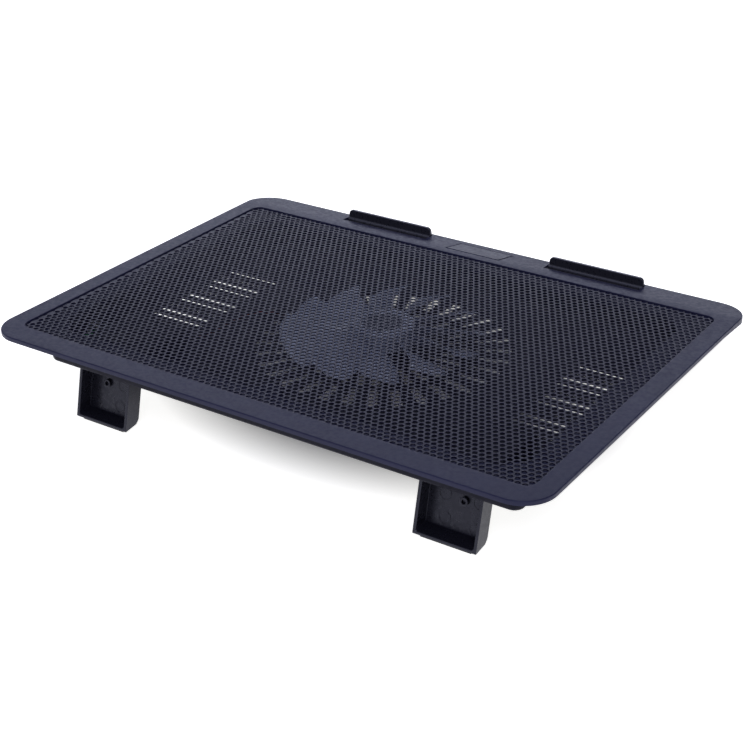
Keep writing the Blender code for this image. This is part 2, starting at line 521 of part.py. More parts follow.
# ---------------------------------------------------------------- case screws
for k, (x, y) in enumerate(SCREWS):
    turned("case_screw_%d" % (k + 1), [(0.0, -6.0), (0.7, -6.0), (1.25, -7.2), (1.25, -17.6), (2.7, -17.6), (2.4, -19.2), (0.0, -19.2)], 12,
           at=(x, y, 0.0), mat=M_STEEL)

# ---------------------------------------------------------------- power inlet and internal lead
inlet = box("usb_inlet", 142.4, 151.9, INLET_Y - 4.0, INLET_Y + 4.0, INLET_Z - 2.2, INLET_Z + 2.2, mat=M_STEEL)
cut(inlet, box("cut_inlet_mouth", 143.4, 156.0, INLET_Y - 3.5, INLET_Y + 3.5, INLET_Z - 1.7, INLET_Z + 1.7, cutter=True))
box("inlet_tongue", 143.8, 150.4, INLET_Y - 2.4, INLET_Y + 2.4, INLET_Z - 0.4, INLET_Z + 0.5, mat=M_CASE)
box("inlet_board", 138.6, 150.4, INLET_Y - 8.0, INLET_Y + 8.0, -17.6, -16.5, mat=M_BOARD)

route = [(18.2, -10.5, -18.9), (40.0, -10.5, -18.9), (60.0, -10.5, -18.9), (78.0, -10.0, -18.9), (89.0, -2.0, -18.9), (91.5, 14.0, -18.9),
         (92.0, 32.0, -18.9), (97.0, 43.0, -18.9), (112.0, 46.0, -18.9), (130.0, 46.5, -18.9), (141.0, 49.5, -18.9), (144.5, 56.0, -18.9),
         (145.0, 61.0, -18.9)]


def smooth_route(pts, n):
    """Catmull-Rom curve through the route's own points."""
    out = []
    p = [Vector(pts[0])] + [Vector(q) for q in pts] + [Vector(pts[-1])]
    for i in range(1, len(p) - 2):
        for k in range(n):
            t = k / n
            out.append(0.5 * ((2 * p[i]) + (p[i + 1] - p[i - 1]) * t + (2 * p[i - 1] - 5 * p[i] + 4 * p[i + 1] - p[i + 2]) * t * t
                              + (3 * p[i] - p[i - 1] - 3 * p[i + 1] + p[i + 2]) * t ** 3))
    out.append(p[-2])
    return out


cu = bpy.data.curves.new("fan_lead", 'CURVE')
cu.dimensions = '3D'
cu.bevel_depth = 0.8 * MM
cu.bevel_resolution = 1
cu.use_fill_caps = True
sp = cu.splines.new('POLY')
rt = smooth_route(route, 3)
sp.points.add(len(rt) - 1)
for p, c in zip(sp.points, rt):
    p.co = (c.x * MM, c.y * MM, c.z * MM, 1.0)
lead = bpy.data.objects.new("fan_lead", cu)
PARTS.objects.link(lead)
lead.parent = FRAME
cu.materials.append(M_WIRE)
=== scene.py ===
"""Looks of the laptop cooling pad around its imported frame.

Work is done in millimetres in the platform's own flat frame (x across, y to the rear,
z = 0 on the perforated sheet), then laid onto the tilted platform with one matrix that
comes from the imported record's fan joint.
"""

import json
import math
import bpy
import bmesh
import numpy as np
from mathutils import Matrix, Vector, geometry


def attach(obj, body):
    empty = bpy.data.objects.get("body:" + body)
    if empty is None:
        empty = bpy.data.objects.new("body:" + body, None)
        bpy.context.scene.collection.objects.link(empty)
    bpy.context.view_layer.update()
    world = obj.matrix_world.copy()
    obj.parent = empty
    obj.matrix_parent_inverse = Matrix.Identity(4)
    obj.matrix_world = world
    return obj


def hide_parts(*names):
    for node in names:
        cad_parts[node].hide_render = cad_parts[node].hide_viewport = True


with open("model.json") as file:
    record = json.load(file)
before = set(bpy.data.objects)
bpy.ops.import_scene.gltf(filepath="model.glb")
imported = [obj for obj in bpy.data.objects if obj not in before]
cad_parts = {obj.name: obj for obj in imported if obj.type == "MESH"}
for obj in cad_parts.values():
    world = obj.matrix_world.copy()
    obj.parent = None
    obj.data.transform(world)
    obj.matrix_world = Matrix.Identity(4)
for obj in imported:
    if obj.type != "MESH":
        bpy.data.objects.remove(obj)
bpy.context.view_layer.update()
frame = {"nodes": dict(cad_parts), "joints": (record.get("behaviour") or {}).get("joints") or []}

MM = 0.001
JOINTS = {j["name"]: j for j in frame["joints"]}
NODES = frame["nodes"]

# ------------------------------------------------------------------ platform frame
FAN_Y = -10.5
_up = Vector(JOINTS["fan_spin"]["axis"]).normalized()
TILT = math.atan2(-_up.y, _up.z)
_R = Matrix.Rotation(TILT, 4, 'X')
_at = Vector(JOINTS["fan_spin"]["pos_m"]) - _R.to_3x3() @ (Vector((0.0, FAN_Y, -12.0)) * MM)
F = Matrix.Translation(_at) @ _R                       # platform (metres) -> world
TO_WORLD = F @ Matrix.Scale(MM, 4)                     # platform (mm) -> world

# driving sizes of the frame, in mm
WIDTH, Y_FRONT, Y_REAR, CORNER_R = 350.0, -131.0, 128.7, 19.0
RIM_TOP, LIP_BOTTOM, SIDE_LIP, RIM_UNDER, LIP_T = 0.7, -3.6, -2.0, -1.6, 1.8
CREASE_Y, STRIP_DROP = -112.0, 1.6
MESH_X, MESH_Y0, MESH_Y1, MESH_R = 163.3, -106.5, 113.5, 6.0
SHEET_T, LEDGE_TOP = 0.6, -0.9
OPEN_X, OPEN_Y0, OPEN_Y1, OPEN_CH = 149.5, -97.0, 101.0, 12.0
CASE_X, CASE_Y0, CASE_Y1, CASE_R = 153.0, -112.0, 105.0, 6.0
CASE_TOP, CASE_BOTTOM, WALL, FLOOR_T = -3.9, -22.0, 2.2, 1.6
FLOOR_TOP = CASE_BOTTOM + FLOOR_T
SLOTS, SLOT_RINGS, SLOT_ANGLE = 32, ((29.0, 50.2), (53.6, 74.0)), 5.0
SIDE_SLOTS, SIDE_PITCH, SIDE_W, SIDE_X0, SIDE_X1, SIDE_YC = 11, 8.2, 3.4, 105.0, 143.0, -7.5
LEG_XI, LEG_XO, LEG_T, LEG_WALL = 94.9, 131.9, 10.6, 1.8
LEG_LEAN, LEG_AXIS_Y, LEG_AXIS_Z, LEG_LEN = 13.0, 94.9, -15.5, 37.6
PAD_T, PIN_R = 1.8, 1.5
POCKET_Y0, POCKET_Y1, POCKET_TOP, POCKET_GAP = 54.5, 102.4, -9.6, 0.6
STOP_X, STOP_SHIFT, STOP_LEN, STOP_AXIS_Y, STOP_AXIS_Z = 74.0, -3.5, 62.5, -125.4, -1.7
STOP_BARREL_R, STOP_T, STOP_H = 1.75, 2.2, 6.6
STOP_POCKET_Y0, STOP_POCKET_Y1, STOP_POCKET_Z = -128.1, -118.4, -2.1
FOOT_R, FOOT_BOTTOM, FOOT_SEAT = 6.0, -24.0, -21.2
FRONT_FOOT, REAR_FOOT = (128.0, -99.5), (84.0, 92.0)
HUB_R, HUB_TOP, HUB_BOTTOM, HUB_IN_R, HUB_IN_TOP = 19.0, -5.0, -16.6, 17.3, -7.0
LABEL_R, BLADES, BLADE_TIP_R, BLADE_T = 11.4, 12, 60.0, 1.2
SCREWS = ((145.5, 97.0), (-145.5, 97.0), (145.5, -104.0), (-145.5, -104.0), (0.0, -103.0), (0.0, 97.5))
MOTOR_SCREW_R = 13.0
INLET_Y, INLET_Z = 70.0, -14.0
HOLE_PX, HOLE_PY, HOLE_R, HOLE_N = 3.859, 3.342, 1.58, 8
SIDES = (("left", -1), ("right", 1))


# ------------------------------------------------------------------ mesh helpers (mm)
def rounded_rect(x0, x1, y0, y1, r, n=8):
    pts = []
    for cx, cy, a0 in ((x1 - r, y1 - r, 0), (x0 + r, y1 - r, 90), (x0 + r, y0 + r, 180), (x1 - r, y0 + r, 270)):
        for i in range(n + 1):
            a = math.radians(a0 + 90.0 * i / n)
            pts.append((cx + r * math.cos(a), cy + r * math.sin(a)))
    return pts


def circle(cx, cy, r, n=32, a0=0.0):
    return [(cx + r * math.cos(a0 + 2 * math.pi * i / n), cy + r * math.sin(a0 + 2 * math.pi * i / n)) for i in range(n)]


def to_mesh(bm, name="m"):
    bmesh.ops.recalc_face_normals(bm, faces=bm.faces)
    if bm.calc_volume(signed=True) < 0:
        bmesh.ops.reverse_faces(bm, faces=bm.faces)
    me = bpy.data.meshes.new(name)
    bm.to_mesh(me)
    bm.free()
    return me


def prism(loop, z0, z1, bevels=(), segs=3):
    """An outline between two heights; bevels is ((test on both ends' point, width), ...)."""
    bm = bmesh.new()
    lo = [bm.verts.new((x, y, z0)) for x, y in loop]
    hi = [bm.verts.new((x, y, z1)) for x, y in loop]
    bm.faces.new(lo)
    bm.faces.new(hi)
    for i in range(len(loop)):
        j = (i + 1) % len(loop)
        bm.faces.new((lo[i], lo[j], hi[j], hi[i]))
    bmesh.ops.recalc_face_normals(bm, faces=bm.faces)
    for test, w in bevels:
        ed = [e for e in bm.edges if all(test(v.co) for v in e.verts) and e.calc_face_angle(0.0) > math.radians(40)]
        bmesh.ops.bevel(bm, geom=ed, offset=w, segments=segs, profile=0.5, affect='EDGES')
    return to_mesh(bm)


YZ_TO_X = Matrix(((0, 0, 1, 0), (1, 0, 0, 0), (0, 1, 0, 0), (0, 0, 0, 1)))


def side_prism(loop_yz, x0, x1, **kw):
    me = prism(loop_yz, x0, x1, **kw)
    me.transform(YZ_TO_X)
    return me


def box(x0, x1, y0, y1, z0, z1, r=0.0, segs=2):
    bm = bmesh.new()
    bmesh.ops.create_cube(bm, size=1.0, matrix=Matrix.Translation(((x0 + x1) / 2, (y0 + y1) / 2, (z0 + z1) / 2))
                          @ Matrix.Diagonal((abs(x1 - x0), abs(y1 - y0), abs(z1 - z0), 1.0)))
    if r:
        bmesh.ops.bevel(bm, geom=list(bm.edges), offset=r, segments=segs, profile=0.5, affect='EDGES')
    return to_mesh(bm)


def soften(profile, r, n=3, closed=False):
    """Round every corner of a 2-D line by r (less where the sides are short)."""
    out = []
    m = len(profile)
    for i, p in enumerate(profile):
        if not closed and (i == 0 or i == m - 1):
            out.append(p)
            continue
        a, b = Vector(profile[i - 1]), Vector(profile[(i + 1) % m])
        c = Vector(p)
        u, v = a - c, b - c
        if u.length < 1e-6 or v.length < 1e-6 or abs(p[0]) < 1e-6:
            out.append(p)
            continue
        k = min(r, u.length * 0.45, v.length * 0.45)
        p0, p1 = c + u.normalized() * k, c + v.normalized() * k
        for j in range(n + 1):
            t = j / n
            q = (1 - t) ** 2 * p0 + 2 * t * (1 - t) * c + t * t * p1
            out.append((q.x, q.y))
    return out


def lathe(profile, steps=64, at=(0, 0, 0), closed=False):
    bm = bmesh.new()
    rings = []
    for r, z in profile:
        if r < 1e-6:
            rings.append([bm.verts.new((at[0], at[1], z + at[2]))])
        else:
            rings.append([bm.verts.new((at[0] + r * math.cos(2 * math.pi * k / steps), at[1] + r * math.sin(2 * math.pi * k / steps), z + at[2]))
                          for k in range(steps)])
    m = len(rings)
    for i in range(m if closed else m - 1):
        a, b = rings[i], rings[(i + 1) % m]
        for k in range(steps):
            k2 = (k + 1) % steps
            if len(a) == 1 and len(b) == 1:
                continue
            if len(a) == 1:
                bm.faces.new((a[0], b[k], b[k2]))
            elif len(b) == 1:
                bm.faces.new((a[k], a[k2], b[0]))
            else:
                bm.faces.new((a[k], a[k2], b[k2], b[k]))
    return to_mesh(bm)


def rod(c, axis, r, length, seg=32):
    rot = {'Z': Matrix.Identity(4), 'X': Matrix.Rotation(math.pi / 2, 4, 'Y'), 'Y': Matrix.Rotation(math.pi / 2, 4, 'X')}[axis]
    bm = bmesh.new()
    bmesh.ops.create_cone(bm, cap_ends=True, cap_tris=False, segments=seg, radius1=r, radius2=r, depth=length,
                          matrix=Matrix.Translation(c) @ rot)
    return to_mesh(bm)


def loft(rings, caps=True):
    """Closed body through rings of equal length."""
    bm = bmesh.new()
    vs = [[bm.verts.new(p) for p in ring] for ring in rings]
    for a, b in zip(vs, vs[1:]):
        for k in range(len(a)):
            k2 = (k + 1) % len(a)
            bm.faces.new((a[k], a[k2], b[k2], b[k]))
    if caps:
        bm.faces.new(vs[0])
        bm.faces.new(vs[-1])
    return to_mesh(bm)


def joined(meshes):
    bm = bmesh.new()
    for me in meshes:
        bm.from_mesh(me)
        bpy.data.meshes.remove(me)
    me = bpy.data.meshes.new("joined")
    bm.to_mesh(me)
    bm.free()
    return me


def carve(base, *ops):
    """Boolean steps in order: (operation, mesh)."""
    col = bpy.context.scene.collection
    ob = bpy.data.objects.new("carve", base)
    col.objects.link(ob)
    tools = []
    for op, me in ops:
        t = bpy.data.objects.new("tool", me)
        col.objects.link(t)
        t.hide_render = True
        m = ob.modifiers.new("b", 'BOOLEAN')
        m.operation, m.solver, m.object = op, 'EXACT', t
        tools.append(t)
    dg = bpy.context.evaluated_depsgraph_get()
    dg.update()
    out = bpy.data.meshes.new_from_object(ob.evaluated_get(dg), preserve_all_data_layers=True, depsgraph=dg)
    for o in [ob] + tools:
        me = o.data
        bpy.data.objects.remove(o, do_unlink=True)
        bpy.data.meshes.remove(me)
    bm = bmesh.new()
    bm.from_mesh(out)
    bmesh.ops.remove_doubles(bm, verts=bm.verts, dist=0.0005)
    bm.to_mesh(out)
    bm.free()
    return out


def piece(name, me, mat, body, nodes=(), smooth=35.0, weighted=True, matrix=TO_WORLD):
    me.transform(matrix)
    me.name = name
    me.materials.clear()
    me.materials.append(mat)
    for p in me.polygons:
        p.use_smooth = True
    me.set_sharp_from_angle(angle=math.radians(smooth))
    ob = bpy.data.objects.new(name, me)
    bpy.context.scene.collection.objects.link(ob)
    if weighted:
        w = ob.modifiers.new("weighted_normals", 'WEIGHTED_NORMAL')
        w.keep_sharp = True
        w.weight = 100
    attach(ob, body)
    if nodes:
        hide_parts(*nodes)
    return ob


# ------------------------------------------------------------------ materials
def node_material(name):
    m = bpy.data.materials.new(name)
    m.use_nodes = True
    nt = m.node_tree
    return m, nt, nt.nodes["Principled BSDF"]


def link(nt, a, b):
    nt.links.new(a, b)


def noise_tex(nt, coord, scale, detail=3.0, rough=0.55, stretch=None):
    n = nt.nodes.new("ShaderNodeTexNoise")
    n.inputs["Scale"].default_value = scale
    n.inputs["Detail"].default_value = detail
    n.inputs["Roughness"].default_value = rough
    if stretch:
        mp = nt.nodes.new("ShaderNodeMapping")
        mp.inputs["Scale"].default_value = stretch
        link(nt, coord, mp.inputs["Vector"])
        coord = mp.outputs["Vector"]
    link(nt, coord, n.inputs["Vector"])
    return n.outputs["Fac"]


def remap(nt, value, lo, hi, a=0.35, b=0.65):
    r = nt.nodes.new("ShaderNodeMapRange")
    r.inputs["From Min"].default_value, r.inputs["From Max"].default_value = a, b
    r.inputs["To Min"].default_value, r.inputs["To Max"].default_value = lo, hi
    link(nt, value, r.inputs["Value"])
    return r.outputs["Result"]


def mix_colour(nt, fac, c1, c2):
    m = nt.nodes.new("ShaderNodeMix")
    m.data_type = 'RGBA'
    if hasattr(fac, "is_linked"):
        link(nt, fac, m.inputs[0])
    else:
        m.inputs[0].default_value = fac
    for sock, c in ((m.inputs[6], c1), (m.inputs[7], c2)):
        if hasattr(c, "is_linked"):
            link(nt, c, sock)
        else:
            sock.default_value = (*c, 1.0)
    return m.outputs[2]


def bumps(nt, layers):
    """Stack of bump layers: (height socket, distance in metres, strength)."""
    last = None
    for h, dist, strength in layers:
        b = nt.nodes.new("ShaderNodeBump")
        b.inputs["Distance"].default_value = dist
        b.inputs["Strength"].default_value = strength
        link(nt, h, b.inputs["Height"])
        if last is not None:
            link(nt, last, b.inputs["Normal"])
        last = b.outputs["Normal"]
    return last


def moulded(name, base, rough=0.5, spec=0.4, grain=0.00035, depth=0.00001, tone=0.10, edge_wear_and_highlight=(1.25, 0.25), coat=0.0, dust=0.0):
    """Moulded plastic: fine spark-eroded grain, cloudy tone, rounded edges painted lighter, partly as wear from use and
    partly as painted highlight.
    """
    m, nt, b = node_material(name)
    co = nt.nodes.new("ShaderNodeTexCoord").outputs["Object"]
    fine = noise_tex(nt, co, 1.0 / grain, 2.0, 0.6)
    mid = noise_tex(nt, co, 420.0, 3.0, 0.6)
    cloud = noise_tex(nt, co, 22.0, 4.0, 0.6)
    d = tuple(c * (1 - tone) for c in base)
    l = tuple(c * (1 + tone) for c in base)
    col = mix_colour(nt, remap(nt, cloud, 0.0, 1.0), d, l)
    col2 = mix_colour(nt, remap(nt, fine, 0.0, 0.30, 0.45, 0.75), col, tuple(min(1.0, c * 1.5 + 0.004) for c in base))
    # rounded edges painted lighter, partly as wear from handling and partly as painted highlight, from the spread of
    # the rounded-over normal
    bev = nt.nodes.new("ShaderNodeBevel")
    bev.samples = 4
    bev.inputs["Radius"].default_value = 0.0006
    geo = nt.nodes.new("ShaderNodeNewGeometry")
    dot = nt.nodes.new("ShaderNodeVectorMath")
    dot.operation = 'DOT_PRODUCT'
    link(nt, bev.outputs["Normal"], dot.inputs[0])
    link(nt, geo.outputs["Normal"], dot.inputs[1])
    edge = remap(nt, dot.outputs["Value"], edge_wear_and_highlight[1], 0.0, 0.75, 0.995)
    edge_wear_and_highlight_mask = nt.nodes.new("ShaderNodeMath")
    edge_wear_and_highlight_mask.operation = 'MULTIPLY'
    link(nt, edge, edge_wear_and_highlight_mask.inputs[0])
    link(nt, remap(nt, mid, 0.2, 1.0), edge_wear_and_highlight_mask.inputs[1])
    # painted highlight and wear: the rounded edges are mixed towards a lighter copy of the base colour
    col3 = mix_colour(nt, edge_wear_and_highlight_mask.outputs["Value"], col2, tuple(min(1.0, c * edge_wear_and_highlight[0] + 0.01) for c in base))
    if dust:
        sep = nt.nodes.new("ShaderNodeSeparateXYZ")
        link(nt, geo.outputs["Normal"], sep.inputs[0])
        up = remap(nt, sep.outputs["Z"], 0.0, dust, 0.6, 1.0)
        spots = nt.nodes.new("ShaderNodeMath")
        spots.operation = 'MULTIPLY'
        link(nt, up, spots.inputs[0])
        link(nt, remap(nt, cloud, 0.0, 1.0, 0.45, 0.7), spots.inputs[1])
        col3 = mix_colour(nt, spots.outputs["Value"], col3, (0.30, 0.30, 0.31))
    link(nt, col3, b.inputs["Base Color"])
    link(nt, remap(nt, mid, rough - 0.06, rough + 0.08), b.inputs["Roughness"])
    b.inputs["Specular IOR Level"].default_value = spec
    b.inputs["Specular Tint"].default_value = (0.80, 0.81, 1.0, 1.0)
    b.inputs["Coat Weight"].default_value = coat
    b.inputs["Coat Roughness"].default_value = 0.15
    link(nt, bumps(nt, [(mid, depth * 3.0, 0.25), (fine, depth, 0.8)]), b.inputs["Normal"])
    return m


def rubbery(name, base):
    m, nt, b = node_material(name)
    co = nt.nodes.new("ShaderNodeTexCoord").outputs["Object"]
    fine = noise_tex(nt, co, 3200.0, 2.0)
    cloud = noise_tex(nt, co, 160.0, 4.0)
    link(nt, mix_colour(nt, remap(nt, cloud, 0.0, 1.0), base, tuple(c * 1.9 + 0.006 for c in base)), b.inputs["Base Color"])
    link(nt, remap(nt, cloud, 0.72, 0.92), b.inputs["Roughness"])
    b.inputs["Specular IOR Level"].default_value = 0.25
    link(nt, bumps(nt, [(fine, 0.00002, 0.9)]), b.inputs["Normal"])
    return m


def metal(name, base, rough, streak=None, tarnish=0.2, metallic=1.0, scale=900.0):
    m, nt, b = node_material(name)
    co = nt.nodes.new("ShaderNodeTexCoord").outputs["Object"]
    g = noise_tex(nt, co, scale, 3.0, 0.6, streak)
    cloud = noise_tex(nt, co, 240.0, 4.0)
    link(nt, mix_colour(nt, remap(nt, cloud, 0.0, 1.0), base, tuple(c * (1 - tarnish) for c in base)), b.inputs["Base Color"])
    b.inputs["Metallic"].default_value = metallic
    link(nt, remap(nt, g, rough - 0.07, rough + 0.10), b.inputs["Roughness"])
    link(nt, bumps(nt, [(g, 0.000006, 0.5)]), b.inputs["Normal"])
    return m


def sheet_paint(name):
    """Satin powder paint on punched steel: orange peel, with lighter specks and a cloudy tone."""
    m, nt, b = node_material(name)
    co = nt.nodes.new("ShaderNodeTexCoord").outputs["Object"]
    peel = noise_tex(nt, co, 1500.0, 3.0, 0.6)
    cloud = noise_tex(nt, co, 14.0, 4.0, 0.6)
    base = (0.0115, 0.0108, 0.026)
    col = mix_colour(nt, remap(nt, cloud, 0.0, 1.0), tuple(c * 0.9 for c in base), tuple(c * 1.1 for c in base))
    speck = mix_colour(nt, remap(nt, peel, 0.0, 0.35, 0.5, 0.8), col, tuple(c * 1.7 for c in base))
    link(nt, speck, b.inputs["Base Color"])
    link(nt, remap(nt, peel, 0.36, 0.52), b.inputs["Roughness"])
    b.inputs["Specular IOR Level"].default_value = 0.24
    b.inputs["Specular Tint"].default_value = (0.76, 0.75, 1.0, 1.0)
    link(nt, bumps(nt, [(peel, 0.000012, 0.6)]), b.inputs["Normal"])
    return m


def smoky(name):
    """Translucent smoke-blue moulded plastic."""
    m, nt, b = node_material(name)
    co = nt.nodes.new("ShaderNodeTexCoord").outputs["Object"]
    flow = noise_tex(nt, co, 60.0, 3.0)
    fine = noise_tex(nt, co, 1800.0, 2.0)
    link(nt, mix_colour(nt, remap(nt, flow, 0.0, 1.0), (0.33, 0.37, 0.52), (0.45, 0.50, 0.67)), b.inputs["Base Color"])
    link(nt, remap(nt, flow, 0.20, 0.32), b.inputs["Roughness"])
    b.inputs["Transmission Weight"].default_value = 0.25
    b.inputs["IOR"].default_value = 1.49
    link(nt, bumps(nt, [(fine, 0.000005, 0.4)]), b.inputs["Normal"])
    return m


def board(name):
    m, nt, b = node_material(name)
    co = nt.nodes.new("ShaderNodeTexCoord").outputs["Object"]
    vor = nt.nodes.new("ShaderNodeTexVoronoi")
    vor.feature = 'DISTANCE_TO_EDGE'
    vor.inputs["Scale"].default_value = 420.0
    link(nt, co, vor.inputs["Vector"])
    trace = remap(nt, vor.outputs["Distance"], 1.0, 0.0, 0.04, 0.07)
    link(nt, mix_colour(nt, trace, (0.01, 0.09, 0.035), (0.02, 0.16, 0.06)), b.inputs["Base Color"])
    b.inputs["Roughness"].default_value = 0.35
    link(nt, bumps(nt, [(trace, 0.00003, 0.5)]), b.inputs["Normal"])
    return m


def windings(name):
    m, nt, b = node_material(name)
    co = nt.nodes.new("ShaderNodeTexCoord").outputs["Object"]
    w = nt.nodes.new("ShaderNodeTexWave")
    w.bands_direction = 'Z'
    w.inputs["Scale"].default_value = 900.0
    w.inputs["Distortion"].default_value = 0.4
    link(nt, co, w.inputs["Vector"])
    link(nt, mix_colour(nt, w.outputs["Fac"], (0.25, 0.08, 0.03), (0.75, 0.33, 0.16)), b.inputs["Base Color"])
    b.inputs["Metallic"].default_value = 1.0
    b.inputs["Roughness"].default_value = 0.35
    link(nt, bumps(nt, [(w.outputs["Fac"], 0.0001, 0.8)]), b.inputs["Normal"])
    return m


# Every moulded plastic here has its rounded edges painted lighter, part wear and part painted highlight, most strongly
# the frame, the legs and the stops.
M_FRAME = moulded("frame_plastic", (0.0150, 0.0158, 0.040), 0.42, 0.17, edge_wear_and_highlight=(2.6, 0.7))
M_BADGE = moulded("badge_plastic", (0.0130, 0.0138, 0.034), 0.36, 0.17, grain=0.00025, depth=0.000006)
M_CASE = moulded("casing_plastic", (0.0060, 0.0058, 0.012), 0.55, 0.14)
M_LEG = moulded("leg_plastic", (0.0085, 0.0085, 0.014), 0.30, 0.42, grain=0.0005, depth=0.000014, edge_wear_and_highlight=(2.2, 0.5))
M_STOP = moulded("stop_plastic", (0.017, 0.017, 0.024), 0.30, 0.60, grain=0.0004, depth=0.000006, edge_wear_and_highlight=(3.0, 0.6))
M_SHEET = sheet_paint("sheet_steel")
M_RUBBER = rubbery("rubber", (0.012, 0.012, 0.014))
M_FAN = smoky("fan_plastic")
M_LABEL = moulded("label_film", (0.075, 0.085, 0.12), 0.38, 0.4, grain=0.0006, depth=0.000004)
M_STEEL = metal("steel", (0.62, 0.62, 0.63), 0.28)
M_BRONZE = metal("bronze", (0.50, 0.33, 0.15), 0.42, tarnish=0.35)
M_CORE = metal("core_steel", (0.28, 0.28, 0.29), 0.45, streak=(1.0, 1.0, 14.0))
M_COPPER = windings("copper_wire")
M_BOARD = board("circuit_board")
M_MAGNET = moulded("ferrite", (0.05, 0.05, 0.055), 0.7, 0.3)
M_WIRE = rubbery("wire_sleeve", (0.010, 0.010, 0.011))
M_WIRE_RED = rubbery("wire_sleeve_red", (0.045, 0.006, 0.006))

for node, mat in (("motor_base", M_CASE), ("bearing", M_BRONZE), ("thrust_cap", M_RUBBER), ("motor_board", M_BOARD), ("stator_core", M_CORE),
                  ("rotor_magnet", M_MAGNET), ("fan_shaft", M_STEEL), ("inlet_tongue", M_CASE), ("inlet_board", M_BOARD),
                  ("leg_pin_left", M_STEEL), ("leg_pin_right", M_STEEL)):
    NODES[node].data.materials.clear()
    NODES[node].data.materials.append(mat)
for k in range(1, 5):
    NODES["stator_coil_%d" % k].data.materials.clear()
    NODES["stator_coil_%d" % k].data.materials.append(M_COPPER)


# ------------------------------------------------------------------ top frame
def strip_drop(y):
    """How far the front strip lies below the rim: a soft bend at the crease, then a straight slope."""
    d = CREASE_Y - y
    k = STRIP_DROP / (CREASE_Y - Y_FRONT)
    soft = 3.2
    if d <= -soft:
        return 0.0
    if d >= soft:
        return k * d
    return k * (d + soft) ** 2 / (4 * soft)


def stations(x0, x1, y0, y1, r, n=14, m=10):
    """Points round a rounded rectangle, with the same count on each side and corner."""
    r = r if isinstance(r, tuple) else (r, r, r, r)
    corners = ((x1 - r[0], y1 - r[0], 0, r[0]), (x0 + r[1], y1 - r[1], 90, r[1]), (x0 + r[2], y0 + r[2], 180, r[2]), (x1 - r[3], y0 + r[3], 270, r[3]))
    arcs = []
    for cx, cy, a0, r in corners:
        arcs.append([(cx + r * math.cos(math.radians(a0 + 90.0 * i / n)), cy + r * math.sin(math.radians(a0 + 90.0 * i / n))) for i in range(n + 1)])
    pts = []
    for q in range(4):
        pts += arcs[q]
        a, b = arcs[q][-1], arcs[(q + 1) % 4][0]
        for i in range(1, m):
            t = i / m
            pts.append((a[0] + (b[0] - a[0]) * t, a[1] + (b[1] - a[1]) * t))
    return pts


def chamfer_stations(x, y0, y1, c, n=14, m=10):
    corner = (((x, y1 - c), (x - c, y1)), ((-x + c, y1), (-x, y1 - c)), ((-x, y0 + c), (-x + c, y0)), ((x - c, y0), (x, y0 + c)))
    pts = []
    for q in range(4):
        (ax, ay), (bx, by) = corner[q]
        pts += [(ax + (bx - ax) * i / n, ay + (by - ay) * i / n) for i in range(n + 1)]
        (cx, cy) = corner[(q + 1) % 4][0]
        pts += [(bx + (cx - bx) * i / m, by + (cy - by) * i / m) for i in range(1, m)]
    return pts


def out(d):
    """The outer outline moved in by d."""
    return stations(-WIDTH / 2 + d, WIDTH / 2 - d, Y_FRONT + d, Y_REAR - d, max(CORNER_R - d, 1.0))


def inn(d):
    """The recess outline moved out by d."""
    return stations(-MESH_X - d, MESH_X + d, MESH_Y0 - d, MESH_Y1 + d, MESH_R + d)


FIL = 0.6
rings = []


def ring(path, z, dropped=False):
    rings.append([(x, y, (z(x, y) if callable(z) else z) - (strip_drop(y) if dropped else 0.0)) for x, y in path])


def lip(up_):
    """Lower edge of the outside: thin along the sides and the rear, deep round the front strip."""
    def at(x, y):
        t = min(1.0, max(0.0, (y + 114.5) / 7.0))
        return LIP_BOTTOM + (SIDE_LIP - LIP_BOTTOM) * t * t * (3 - 2 * t) + up_
    return at


ring(out(0.25), lip(0.0))
ring(out(0.06), lip(0.08))
ring(out(0.0), lip(0.3))
ring(out(0.0), RIM_TOP - FIL, True)
for k in range(1, 7):
    a = math.radians(15.0 * k)
    ring(out(FIL * (1 - math.cos(a))), RIM_TOP - FIL * (1 - math.sin(a)), True)
o1, i1 = out(FIL), inn(0.35)
for t in (0.10, 0.24, 0.40, 0.54, 0.62, 0.68, 0.74, 0.80, 0.87, 0.94):
    ring([(a[0] + (b[0] - a[0]) * t, a[1] + (b[1] - a[1]) * t) for a, b in zip(o1, i1)], RIM_TOP, True)
ring(i1, RIM_TOP, True)
for k in range(1, 4):
    a = math.radians(30.0 * k)
    ring(inn(0.35 * (1 - math.sin(a))), RIM_TOP - 0.35 * (1 - math.cos(a)), True)
ring(inn(0.0), LEDGE_TOP + 0.15)
ring(inn(-0.15), LEDGE_TOP)
ring(chamfer_stations(OPEN_X + 0.25, OPEN_Y0 - 0.25, OPEN_Y1 + 0.25, OPEN_CH), LEDGE_TOP)
ring(chamfer_stations(OPEN_X, OPEN_Y0, OPEN_Y1, OPEN_CH), LEDGE_TOP - 0.25)
ring(chamfer_stations(OPEN_X, OPEN_Y0, OPEN_Y1, OPEN_CH), LIP_BOTTOM + 0.2)
ring(chamfer_stations(OPEN_X + 0.2, OPEN_Y0 - 0.2, OPEN_Y1 + 0.2, OPEN_CH), LIP_BOTTOM)
tub = lambda d: stations(-MESH_X - 3.5 + d, MESH_X + 3.5 - d, -110.0 + d, MESH_Y1 + 3.5 - d, 9.0 - d)
rr_, rf_ = CORNER_R - LIP_T, 6.0
lipin = lambda d: stations(-WIDTH / 2 + LIP_T - d, WIDTH / 2 - LIP_T + d, -113.5 - d, Y_REAR - LIP_T + d, (rr_ + d, rr_ + d, rf_ + d, rf_ + d))
ring(tub(0.2), LIP_BOTTOM)
ring(tub(0.0), LIP_BOTTOM + 0.2)
ring(tub(0.0), RIM_UNDER - 0.3)
ring(tub(-0.3), RIM_UNDER)
ring(lipin(-0.1), RIM_UNDER)
